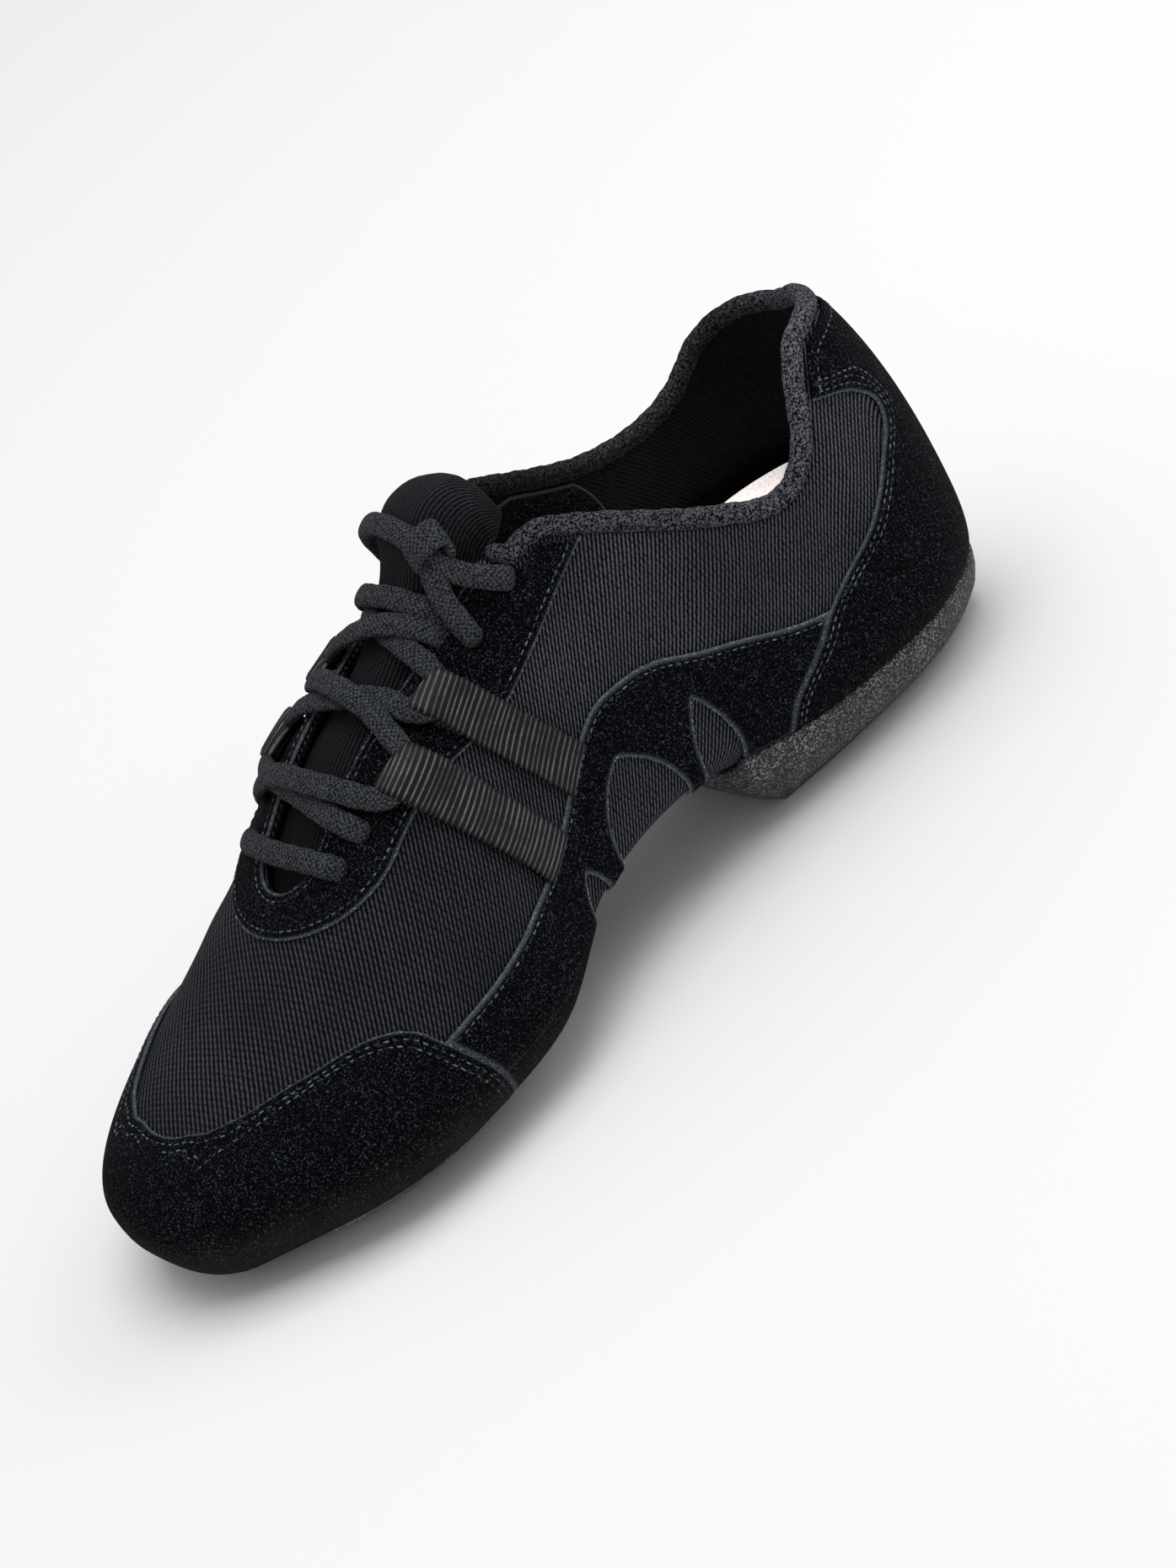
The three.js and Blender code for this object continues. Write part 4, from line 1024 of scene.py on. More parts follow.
def even_steps(rows, step, smooth):
    """Resample a chain of points and normals at even steps, after smoothing it over some rows."""
    if len(rows) > 2 * smooth + 2:
        kernel = np.ones(smooth) / smooth
        pad = smooth // 2
        padded = np.vstack([rows[:1]] * pad + [rows] + [rows[-1:]] * pad)
        rows = np.column_stack([np.convolve(padded[:, k], kernel, "valid") for k in range(rows.shape[1])])
    run = run_along(rows[:, :3])
    count = max(int(run[-1] / step), 2)
    return resample(rows, run, np.linspace(0, run[-1], count + 1))


# Geometry Nodes for what repeats

def node(tree, kind, inputs=None, **settings):
    """Add a node with its settings, give its inputs their values or links, and return its outputs."""
    made = tree.nodes.new(kind)
    for name, value in settings.items():
        setattr(made, name, value)
    for key, value in (inputs or {}).items():
        if isinstance(value, bpy.types.NodeSocket):
            tree.links.new(value, made.inputs[key])
        else:
            made.inputs[key].default_value = value
    return made.outputs


def repeat_tree(name, shape, sides):
    """A tree that sets one small shape on every point of a mesh, turned to its along and out."""
    tree = bpy.data.node_groups.new(name, "GeometryNodeTree")
    tree.interface.new_socket("Geometry", in_out="INPUT", socket_type="NodeSocketGeometry")
    for label in ("Length", "Width", "Height"):
        tree.interface.new_socket(label, in_out="INPUT", socket_type="NodeSocketFloat")
    tree.interface.new_socket("Material", in_out="INPUT", socket_type="NodeSocketMaterial")
    tree.interface.new_socket("Geometry", in_out="OUTPUT", socket_type="NodeSocketGeometry")
    inputs = node(tree, "NodeGroupInput")
    if shape == "pyramid":
        cone = node(tree, "GeometryNodeMeshCone", {
            "Vertices": sides, "Radius Top": 0.12, "Radius Bottom": 0.7071, "Depth": 1.0})["Mesh"]
        piece = node(tree, "GeometryNodeTransform", {
            "Geometry": cone, "Rotation": (0, 0, math.pi / 4)})["Geometry"]
    else:
        ball = node(tree, "GeometryNodeMeshUVSphere", {"Segments": sides, "Rings": 5, "Radius": 0.5})["Mesh"]
        piece = node(tree, "GeometryNodeSetShadeSmooth", {"Geometry": ball})["Geometry"]
    along = node(tree, "GeometryNodeInputNamedAttribute", {"Name": "along"}, data_type="FLOAT_VECTOR")[0]
    out = node(tree, "GeometryNodeInputNamedAttribute", {"Name": "out"}, data_type="FLOAT_VECTOR")[0]
    rise = node(tree, "FunctionNodeAlignRotationToVector", {"Vector": out}, axis="Z")["Rotation"]
    turn = node(tree, "FunctionNodeAlignRotationToVector", {
        "Rotation": rise, "Vector": along}, axis="X", pivot_axis="Z")["Rotation"]
    scale = node(tree, "ShaderNodeCombineXYZ", {
        "X": inputs["Length"], "Y": inputs["Width"], "Z": inputs["Height"]})["Vector"]
    placed = node(tree, "GeometryNodeInstanceOnPoints", {
        "Points": inputs["Geometry"], "Instance": piece, "Rotation": turn, "Scale": scale})["Instances"]
    real = node(tree, "GeometryNodeRealizeInstances", {"Geometry": placed})["Geometry"]
    done = node(tree, "GeometryNodeSetMaterial", {"Geometry": real, "Material": inputs["Material"]})
    node(tree, "NodeGroupOutput", {"Geometry": done["Geometry"]})
    return tree


def repeat(name, places, sizes, material, shape="thread", sides=8):
    """Set a shape on places, rows of point, along and out in millimetres, and make it one mesh."""
    places = np.vstack(places)
    mesh = bpy.data.meshes.new(name)
    mesh.from_pydata(((places[:, :3] - [HEEL_CENTRE, 0, 0]) * MM).tolist(), [], [])
    mesh.attributes.new("along", "FLOAT_VECTOR", "POINT").data.foreach_set("vector", places[:, 3:6].ravel())
    mesh.attributes.new("out", "FLOAT_VECTOR", "POINT").data.foreach_set("vector", places[:, 6:9].ravel())
    obj = bpy.data.objects.new(name, mesh)
    bpy.context.scene.collection.objects.link(obj)
    tree_name = f"{shape} {sides}"
    tree = bpy.data.node_groups.get(tree_name) or repeat_tree(tree_name, shape, sides)
    modifier = obj.modifiers.new("repeat", "NODES")
    modifier.node_group = tree
    values = {"Length": sizes[0], "Width": sizes[1], "Height": sizes[2], "Material": material}
    for item in tree.interface.items_tree:
        if item.in_out == "INPUT" and item.name in values:
            modifier[item.identifier] = values[item.name]
    bpy.context.view_layer.update()
    real = bpy.data.meshes.new_from_object(obj.evaluated_get(bpy.context.evaluated_depsgraph_get()))
    obj.modifiers.clear()
    obj.data = real
    return fit(obj)


def stitch_places(chains, height, step, above):
    """Middle of each stitch of every chain, lifted by a height over the last, above a level."""
    places = []
    for chain in chains:
        rows = even_steps(chain, step, 7)
        if len(rows) < 4:
            continue
        normals = unit(rows[:, 3:6])
        points = rows[:, :3] + normals * height
        along = unit(np.gradient(points, axis=0))
        found = np.column_stack([points, along, normals])[1:-1]
        places.append(found[(found[:, 2] > above) & (found[:, 0] < STITCH_END)])
    return places


# Materials. Each pattern's place is the object's own, in metres, or the cloth's, in millimetres.

MADE = {}
BAND_SCALE = math.pi / 10


def new_material(name, roughness, specular):
    """A material with one shader and its evenly spread gloss."""
    material = bpy.data.materials.new(name)
    material.use_nodes = True
    tree = material.node_tree
    tree.nodes.clear()
    shader = tree.nodes.new("ShaderNodeBsdfPrincipled")
    shader.inputs["Roughness"].default_value = roughness
    shader.inputs["Specular IOR Level"].default_value = specular
    output = tree.nodes.new("ShaderNodeOutputMaterial")
    tree.links.new(shader.outputs[0], output.inputs[0])
    return material, tree, shader


def opaque(colour, strength=1.0):
    """A colour of three values, made lighter or darker, with its fourth."""
    return (*(min(1.0, strength * value) for value in colour), 1.0)


def suede_material():
    """Split leather with a brushed nap: near black and matt, with short light tufts that are partly
    pale fibres and partly painted sheen, raw edges that have gone pale, and a little warm dust
    low down at the toe."""
    material, tree, shader = new_material("brushed split suede", 0.95, 0.04)
    colour = tuple(bpy.context.scene.shoe_colours.suede)
    place = node(tree, "ShaderNodeTexCoord")["Object"]
    edge = node(tree, "ShaderNodeAttribute", attribute_name="edge")["Fac"]
    height = node(tree, "ShaderNodeSeparateXYZ", {0: place})[2]
    # Tufts of about 0.2 mm would not show, so they are drawn at 0.5 mm
    tufts = node(tree, "ShaderNodeTexNoise", {
        "Vector": place, "Scale": 1 / (0.5 * MM), "Detail": 2, "Roughness": 0.75})[0]
    strokes = node(tree, "ShaderNodeTexNoise", {
        "Vector": place, "Scale": 1 / (11 * MM), "Detail": 4, "Roughness": 0.6})[0]
    # The light tufts are partly pale fibres and partly painted sheen on the nap.
    tuft_fibres_and_sheen = node(tree, "ShaderNodeMapRange", {
        "Value": tufts, "From Min": 0.53, "From Max": 0.76}, interpolation_type="SMOOTHSTEP")[0]
    brushed = node(tree, "ShaderNodeMapRange", {
        "Value": strokes, "From Min": 0.3, "From Max": 0.7, "To Min": 0.6, "To Max": 1.0},
        interpolation_type="SMOOTHSTEP")[0]
    fibres = node(tree, "ShaderNodeMath", {0: tuft_fibres_and_sheen, 1: brushed}, operation="MULTIPLY")[0]
    nap = node(tree, "ShaderNodeMix", {
        0: fibres, 6: opaque(colour), 7: (*linear("565c65"), 1)}, data_type="RGBA")[2]
    low = node(tree, "ShaderNodeMapRange", {
        "Value": height, "From Min": 0.024, "From Max": 0.006}, interpolation_type="SMOOTHSTEP")[0]
    dusty = node(tree, "ShaderNodeMath", {0: low, 1: strokes}, operation="MULTIPLY")[0]
    dusted = node(tree, "ShaderNodeMix", {
        0: dusty, 6: nap, 7: (*linear("332c2a"), 1)}, data_type="RGBA")[2]
    ragged = node(tree, "ShaderNodeMath", {0: tufts, 1: 2.2, 2: edge}, operation="MULTIPLY_ADD")[0]
    raw = node(tree, "ShaderNodeMapRange", {
        "Value": ragged, "From Min": 1.85, "From Max": 1.15}, interpolation_type="SMOOTHSTEP")[0]
    pale = node(tree, "ShaderNodeMix", {
        0: tuft_fibres_and_sheen, 6: (*linear("4b5056"), 1), 7: (*linear("b4b8be"), 1)}, data_type="RGBA")[2]
    done = node(tree, "ShaderNodeMix", {0: raw, 6: dusted, 7: pale}, data_type="RGBA")[2]
    tree.links.new(done, shader.inputs["Base Color"])
    bump = node(tree, "ShaderNodeBump", {"Height": tufts, "Strength": 1.0, "Distance": 0.4 * MM})[0]
    tree.links.new(bump, shader.inputs["Normal"])
    return material


def knit_material(name, light, dark, pitch, dash, depth, contrast=1.0):
    """Knitted cloth: rows of leaning loops stand up as ribs, matt, with stray light fibres. The rib
    tops are painted light and the gaps between them dark, as painted highlight and shade, and the
    cloth is painted lighter toward the heel than on the vamp, as the light falls."""
    material, tree, shader = new_material(name, 0.92, 0.08)
    place = node(tree, "ShaderNodeTexCoord")["Object"]
    cloth = node(tree, "ShaderNodeAttribute", attribute_name="cloth")["Vector"]
    leaning = node(tree, "ShaderNodeMapping", {"Vector": cloth, "Rotation": (0, 0, math.radians(38))})[0]
    ribs = node(tree, "ShaderNodeTexWave", {
        "Vector": cloth, "Scale": BAND_SCALE / pitch, "Distortion": 0.7, "Detail": 1, "Detail Scale": 0.4},
        bands_direction="X")["Fac"]
    loops = node(tree, "ShaderNodeTexWave", {
        "Vector": leaning, "Scale": BAND_SCALE / dash, "Distortion": 1.0, "Detail": 1, "Detail Scale": 0.6},
        bands_direction="Y")["Fac"]
    # Single fibres would not show, so the fuzz is drawn at 0.5 mm
    fuzz = node(tree, "ShaderNodeTexNoise", {
        "Vector": place, "Scale": 1 / (0.5 * MM), "Detail": 2, "Roughness": 0.7})[0]
    mottle_and_painted_light = node(tree, "ShaderNodeTexNoise", {"Vector": place, "Scale": 1 / (22 * MM), "Detail": 2})[0]
    looped = node(tree, "ShaderNodeMath", {0: loops, 1: 0.4, 2: 0.6}, operation="MULTIPLY_ADD")[0]
    height = node(tree, "ShaderNodeMath", {0: ribs, 1: looped}, operation="MULTIPLY")[0]
    # Painted highlight and shade: the rib tops are drawn light and the gaps between ribs dark.
    rough = node(
        tree, "ShaderNodeMath", {0: fuzz, 1: 1.4 / contrast, 2: height}, operation="MULTIPLY_ADD")[0]
    tone = node(tree, "ShaderNodeMapRange", {
        "Value": rough, "From Min": 0.84, "From Max": 1.62, "To Max": contrast},
        interpolation_type="SMOOTHSTEP")[0]
    shade = node(tree, "ShaderNodeMapRange", {
        "Value": mottle_and_painted_light, "From Min": 0.3, "From Max": 0.7, "To Min": 0.75, "To Max": 1.1})[0]
    # Painted light and shade: the cloth is drawn lighter toward the heel and darker over the vamp, as the
    # light falls.
    along = node(tree, "ShaderNodeSeparateXYZ", {0: place})[0]
    wear_and_painted_light = node(tree, "ShaderNodeMapRange", {
        "Value": along, "From Min": 0.13, "From Max": 0.07, "To Min": 0.54, "To Max": 1.08})[0]
    shaded = node(tree, "ShaderNodeMath", {0: shade, 1: wear_and_painted_light}, operation="MULTIPLY")[0]
    toned = node(tree, "ShaderNodeMath", {0: tone, 1: shaded}, operation="MULTIPLY")[0]
    done = node(tree, "ShaderNodeMix", {0: toned, 6: opaque(dark), 7: opaque(light)}, data_type="RGBA")[2]
    tree.links.new(done, shader.inputs["Base Color"])
    bump = node(tree, "ShaderNodeBump", {"Height": height, "Strength": 1.0, "Distance": depth * MM})[0]
    tree.links.new(bump, shader.inputs["Normal"])
    return material


def terry_material():
    """Looped binding knit: tight bright and dark curls, matt, with no ribs, and painted lighter on
    the outer side and toward the heel, as the light falls there."""
    material, tree, shader = new_material("looped binding knit", 0.95, 0.08)
    place = node(tree, "ShaderNodeTexCoord")["Object"]
    # Loops of about 0.4 mm are drawn at 0.55 mm
    curls = node(tree, "ShaderNodeTexNoise", {
        "Vector": place, "Scale": 1 / (0.55 * MM), "Detail": 3, "Roughness": 0.7})[0]
    tone = node(tree, "ShaderNodeMapRange", {
        "Value": curls, "From Min": 0.43, "From Max": 0.62}, interpolation_type="SMOOTHSTEP")[0]
    along, across, _ = node(tree, "ShaderNodeSeparateXYZ", {0: place})
    # Painted light: the roll is drawn lighter on the outer side and toward the heel, as the light falls.
    outer = node(tree, "ShaderNodeMapRange", {
        "Value": across, "From Min": -0.02, "From Max": 0.015, "To Min": 0.3, "To Max": 1.0})[0]
    heel = node(tree, "ShaderNodeMapRange", {
        "Value": along, "From Min": 0.05, "From Max": -0.01, "To Min": 0.7, "To Max": 1.0})[0]
    wear_and_painted_light = node(tree, "ShaderNodeMath", {0: outer, 1: heel}, operation="MULTIPLY")[0]
    toned = node(tree, "ShaderNodeMath", {0: tone, 1: wear_and_painted_light}, operation="MULTIPLY")[0]
    done = node(tree, "ShaderNodeMix", {
        0: toned, 6: (*linear("020304"), 1), 7: (*linear("74777e"), 1)}, data_type="RGBA")[2]
    tree.links.new(done, shader.inputs["Base Color"])
    bump = node(tree, "ShaderNodeBump", {"Height": curls, "Strength": 1.0, "Distance": 0.8 * MM})[0]
    tree.links.new(bump, shader.inputs["Normal"])
    return material


def tape_material():
    """Woven grosgrain: round ribs across the tape, with painted highlights as short bright lines on
    them, painted shade as black gaps between them and as darker patches in its creases, and a
    darker selvage."""
    material, tree, shader = new_material("woven grosgrain", 0.6, 0.25)
    place = node(tree, "ShaderNodeTexCoord")["Object"]
    cloth = node(tree, "ShaderNodeAttribute", attribute_name="cloth")["Vector"]
    edge = node(tree, "ShaderNodeAttribute", attribute_name="edge")["Fac"]
    ribs = node(tree, "ShaderNodeTexWave", {
        "Vector": cloth, "Scale": BAND_SCALE / TAPE_RIB}, bands_direction="Y")["Fac"]
    threads = node(tree, "ShaderNodeTexNoise", {
        "Vector": place, "Scale": 1 / (0.6 * MM), "Detail": 2, "Roughness": 0.7})[0]
    # Painted shade: soft patches drawn darker, as shade in the tape's creases.
    crease_shade_noise = node(tree, "ShaderNodeTexNoise", {"Vector": place, "Scale": 1 / (5 * MM), "Detail": 2})[0]
    # Painted highlight and shade: the rib crowns are drawn as short bright lines and the gaps between ribs
    # black.
    rough = node(tree, "ShaderNodeMath", {0: threads, 1: 0.55, 2: ribs}, operation="MULTIPLY_ADD")[0]
    tone = node(tree, "ShaderNodeMapRange", {
        "Value": rough, "From Min": 0.85, "From Max": 1.35}, interpolation_type="SMOOTHSTEP")[0]
    painted_crease_shade = node(tree, "ShaderNodeMapRange", {
        "Value": crease_shade_noise, "From Min": 0.35, "From Max": 0.62, "To Min": 0.4, "To Max": 1.0})[0]
    selvage = node(tree, "ShaderNodeMapRange", {
        "Value": edge, "From Min": 0.2, "From Max": 1.1, "To Min": 0.35, "To Max": 1.0})[0]
    mottle_and_painted_light = node(tree, "ShaderNodeMath", {0: tone, 1: painted_crease_shade}, operation="MULTIPLY")[0]
    toned = node(tree, "ShaderNodeMath", {0: mottle_and_painted_light, 1: selvage}, operation="MULTIPLY")[0]
    done = node(tree, "ShaderNodeMix", {
        0: toned, 6: (*linear("010102"), 1), 7: (*linear("6c6e74"), 1)}, data_type="RGBA")[2]
    tree.links.new(done, shader.inputs["Base Color"])
    bump = node(tree, "ShaderNodeBump", {"Height": ribs, "Strength": 1.0, "Distance": 0.25 * MM})[0]
    tree.links.new(bump, shader.inputs["Normal"])
    return material


def lace_material():
    """Soft tubular lace: close plaits with a short fuzz, speckled and a little lighter than
    the upper, with the plaits' crowns painted lighter and the dips between yarns darker, as
    painted light and shade."""
    material, tree, shader = new_material("plaited cotton lace", 0.92, 0.1)
    colour = tuple(bpy.context.scene.shoe_colours.lace)
    place = node(tree, "ShaderNodeTexCoord")["Object"]
    cloth = node(tree, "ShaderNodeAttribute", attribute_name="cloth")["Vector"]
    one_way = node(tree, "ShaderNodeMapping", {"Vector": cloth, "Rotation": (0, 0, math.radians(50))})[0]
    other_way = node(tree, "ShaderNodeMapping", {"Vector": cloth, "Rotation": (0, 0, math.radians(-50))})[0]
    # Yarns of 0.4 mm are drawn at 0.9 mm
    one = node(tree, "ShaderNodeTexWave", {"Vector": one_way, "Scale": BAND_SCALE / 0.9})["Fac"]
    other = node(tree, "ShaderNodeTexWave", {"Vector": other_way, "Scale": BAND_SCALE / 0.9})["Fac"]
    plait = node(tree, "ShaderNodeMath", {0: one, 1: other}, operation="MULTIPLY")[0]
    fuzz = node(tree, "ShaderNodeTexNoise", {
        "Vector": place, "Scale": 1 / (0.55 * MM), "Detail": 2.5, "Roughness": 0.75})[0]
    rough = node(tree, "ShaderNodeMath", {0: fuzz, 1: 5.0, 2: plait}, operation="MULTIPLY_ADD")[0]
    tone = node(tree, "ShaderNodeMapRange", {
        "Value": rough, "From Min": 2.1, "From Max": 3.7}, interpolation_type="SMOOTHSTEP")[0]
    # The speckle of the fuzz is the lace's own; the plaits' lighter crowns and darker dips are painted light
    # and shade.
    done = node(tree, "ShaderNodeMix", {
        0: tone, 6: opaque(colour, 0.16), 7: opaque(colour, 1.9)}, data_type="RGBA")[2]
    tree.links.new(done, shader.inputs["Base Color"])
    bump = node(tree, "ShaderNodeBump", {"Height": rough, "Strength": 1.0, "Distance": 0.22 * MM})[0]
    tree.links.new(bump, shader.inputs["Normal"])
    return material


def rubber_material():
    """Moulded sole rubber: dull dark grey, with a fine pebbled skin, dust in its pores and pale
    scuffed edges."""
    material, tree, shader = new_material("moulded sole rubber", 0.75, 0.25)
    shader.inputs["IOR"].default_value = 1.52
    colour = tuple(bpy.context.scene.shoe_colours.rubber)
    place = node(tree, "ShaderNodeTexCoord")["Object"]
    edge = node(tree, "ShaderNodeAttribute", attribute_name="edge")["Fac"]
    # Pores of about 0.2 mm are drawn at 0.6 mm
    pebbles = node(tree, "ShaderNodeTexNoise", {
        "Vector": place, "Scale": 1 / (0.6 * MM), "Detail": 3, "Roughness": 0.7})[0]
    smears = node(tree, "ShaderNodeTexNoise", {"Vector": place, "Scale": 1 / (15 * MM), "Detail": 3})[0]
    dust = node(tree, "ShaderNodeMapRange", {
        "Value": pebbles, "From Min": 0.48, "From Max": 0.66}, interpolation_type="SMOOTHSTEP")[0]
    patchy = node(tree, "ShaderNodeMapRange", {
        "Value": smears, "From Min": 0.3, "From Max": 0.7, "To Min": 0.4, "To Max": 1.0})[0]
    dusty = node(tree, "ShaderNodeMath", {0: dust, 1: patchy}, operation="MULTIPLY")[0]
    skin = node(tree, "ShaderNodeMix", {
        0: dusty, 6: opaque(colour, 0.5), 7: (*linear("a6a7ab"), 1)}, data_type="RGBA")[2]
    ragged = node(tree, "ShaderNodeMath", {0: pebbles, 1: 1.4, 2: edge}, operation="MULTIPLY_ADD")[0]
    wear_and_painted_light = node(tree, "ShaderNodeMapRange", {
        "Value": ragged, "From Min": 1.3, "From Max": 0.8, "To Max": 0.6,
    }, interpolation_type="SMOOTHSTEP")[0]
    done = node(tree, "ShaderNodeMix", {
        0: wear_and_painted_light, 6: skin, 7: (*linear("74757a"), 1)}, data_type="RGBA")[2]
    tree.links.new(done, shader.inputs["Base Color"])
    bump = node(tree, "ShaderNodeBump", {"Height": pebbles, "Strength": 1.0, "Distance": 0.25 * MM})[0]
    tree.links.new(bump, shader.inputs["Normal"])
    return material


def insole_material():
    """Thin brushed lining cloth, pale pinkish white and matt."""
    material, tree, shader = new_material("brushed lining cloth", 0.9, 0.2)
    colour = tuple(bpy.context.scene.shoe_colours.insole)
    place = node(tree, "ShaderNodeTexCoord")["Object"]
    nap = node(tree, "ShaderNodeTexNoise", {
        "Vector": place, "Scale": 1 / (0.7 * MM), "Detail": 3, "Roughness": 0.6})[0]
    tone = node(tree, "ShaderNodeMapRange", {
        "Value": nap, "From Min": 0.35, "From Max": 0.65}, interpolation_type="SMOOTHSTEP")[0]
    done = node(tree, "ShaderNodeMix", {
        0: tone, 6: opaque(colour, 0.82), 7: opaque(colour)}, data_type="RGBA")[2]
    tree.links.new(done, shader.inputs["Base Color"])
    bump = node(tree, "ShaderNodeBump", {"Height": nap, "Strength": 0.8, "Distance": 0.2 * MM})[0]
    tree.links.new(bump, shader.inputs["Normal"])
    return material


def fibre_material():
    """Loose leather fibres at a cut edge, pale grey and matt."""
    material, tree, shader = new_material("loose leather fibre", 0.95, 0.05)
    place = node(tree, "ShaderNodeTexCoord")["Object"]
    tufts = node(tree, "ShaderNodeTexNoise", {"Vector": place, "Scale": 1 / (1.2 * MM), "Detail": 2})[0]
    tone = node(tree, "ShaderNodeMapRange", {
        "Value": tufts, "From Min": 0.35, "From Max": 0.65}, interpolation_type="SMOOTHSTEP")[0]
    done = node(tree, "ShaderNodeMix", {
        0: tone, 6: (*linear("3f444b"), 1), 7: (*linear("a5abb3"), 1)}, data_type="RGBA")[2]
    tree.links.new(done, shader.inputs["Base Color"])
    return material


def thread_material():
    """Twisted polyester thread, charcoal, with a painted gloss: lighter patches that come and go along it.
    """
    material, tree, shader = new_material("twisted thread", 0.6, 0.2)
    place = node(tree, "ShaderNodeTexCoord")["Object"]
    painted_twist_gloss = node(tree, "ShaderNodeTexNoise", {
        "Vector": place, "Scale": 1 / (1.6 * MM), "Detail": 2, "Roughness": 0.7})[0]
    # Painted highlight: lighter patches drawn as gloss coming and going along the thread.
    tone = node(tree, "ShaderNodeMapRange", {
        "Value": painted_twist_gloss, "From Min": 0.4, "From Max": 0.65}, interpolation_type="SMOOTHSTEP")[0]
    done = node(tree, "ShaderNodeMix", {
        0: tone, 6: (*linear("181b20"), 1), 7: (*linear("6c727b"), 1)}, data_type="RGBA")[2]
    tree.links.new(done, shader.inputs["Base Color"])
    return material


def shared(name, maker, *values):
    """Make a material once and find it again by its name in this run."""
    if name not in MADE:
        MADE[name] = maker(*values)
    return MADE[name]


def knit():
    light = tuple(bpy.context.scene.shoe_colours.knit)
    # The near-black colour fills the gaps between the ribs as painted shade.
    return shared("knit", knit_material, "ribbed knit", light, linear("050608"), 1.12, 1.3, 0.4)


def lining():
    # The lining's colours are darkened as painted shade, so the inside of the shoe stays dark though the
    # snoot shines in.
    return shared(
        "lining", knit_material, "lining mesh", linear("1c1d21"), linear("010102"), 1.1, 1.3, 0.3, 0.7)


def padding_cloth():
    return shared(
        "padding", knit_material, "padding knit", linear("2e3034"), linear("060708"), 1.1, 1.2, 0.2, 0.8)


def suede():
    return shared("suede", suede_material)


def thread():
    return shared("thread", thread_material)


def rubber():
    return shared("rubber", rubber_material)


# Pieces

PATCHES = {}
HALF_SEAM = 0.06
OVERLAY_BASE = CLEARANCE
OVERLAY_BEVELS = (0.3, 0.8)


def toe_cap_patch():
    return cut(
        [in_toe_cap - HALF_SEAM, in_tread + 0.2],
        lambda toe, tread: np.minimum(toe, -tread), OVERLAY_BEVELS)


def counter_patch():
    return cut(
        [before_counter + HALF_SEAM, below_collar - 1, below_heel_rim + RUBBER_GAP],
        lambda front, collar, rim: np.minimum(np.minimum(-front, collar), -rim), OVERLAY_BEVELS)


def panel_patch(side):
    lines = [
        on_lateral, below_panel_top, before_counter - HALF_SEAM, in_toe_cap + HALF_SEAM, in_tread + 0.2,
        outside_under_edge, below_heel_rim + RUBBER_GAP, behind_wedge_front + 0.4, *notches]

    def inside(lateral, top, counter, toe, tread, under, rim, wedge, *discs):
        result = np.minimum.reduce([lateral * side, top, counter, -toe, -tread, under])
        result = np.minimum(result, -np.minimum(rim, wedge))
        for k in (0, 2, 4):
            result = np.minimum(result, -np.minimum(discs[k], discs[k + 1]))
        return result
    return cut(lines, inside, OVERLAY_BEVELS)


def eyestay_patch():
    return cut(
        [in_throat, in_eyestay, below_collar - 1, in_eyelets],
        lambda throat, eyestay, collar, holes: np.minimum.reduce([-throat, eyestay, collar, -holes]),
        OVERLAY_BEVELS)


def upper_patch():
    return cut(
        [below_collar, in_throat, in_forefoot_opening, in_heel_opening, in_eyelets],
        lambda collar, throat, forefoot, heel, holes: np.minimum.reduce(
            [collar, -throat, -forefoot, -heel, -holes]), (0.6,))


class ShoeOperator(bpy.types.Operator):
    """Base of the operators that make the shoe."""

    bl_options = {"REGISTER", "UNDO"}

    def execute(self, context):
        self.make(context)
        return {"FINISHED"}


class SHOE_OT_upper(ShoeOperator):
    """Add the knitted upper with its lining."""

    bl_idname = "shoe.upper"
    bl_label = "Upper"

    def make(self, context):
        patch = upper_patch()
        PATCHES["upper"] = patch
        round_edge = rounded(patch.edge, 0.9) * 0.5 - 0.5
        body = Body()
        sandwich(body, patch, [
            patch.points + patch.normals * round_edge[:, None],
            patch.points - patch.normals * FABRIC_WALL,
        ], (0, 1))
        body.make("knit_upper", [knit(), lining()], "upper", "fabric")


# Suede patch inside the inner quarter: middle and half sizes as shares of length and instep height
INNER_PATCH = {"at": 0.345, "height": 0.660, "half_length": 0.108, "half_height": 0.270}
INNER_PATCH_THICKNESS = 0.8
INNER_SEAM_AT = 0.219


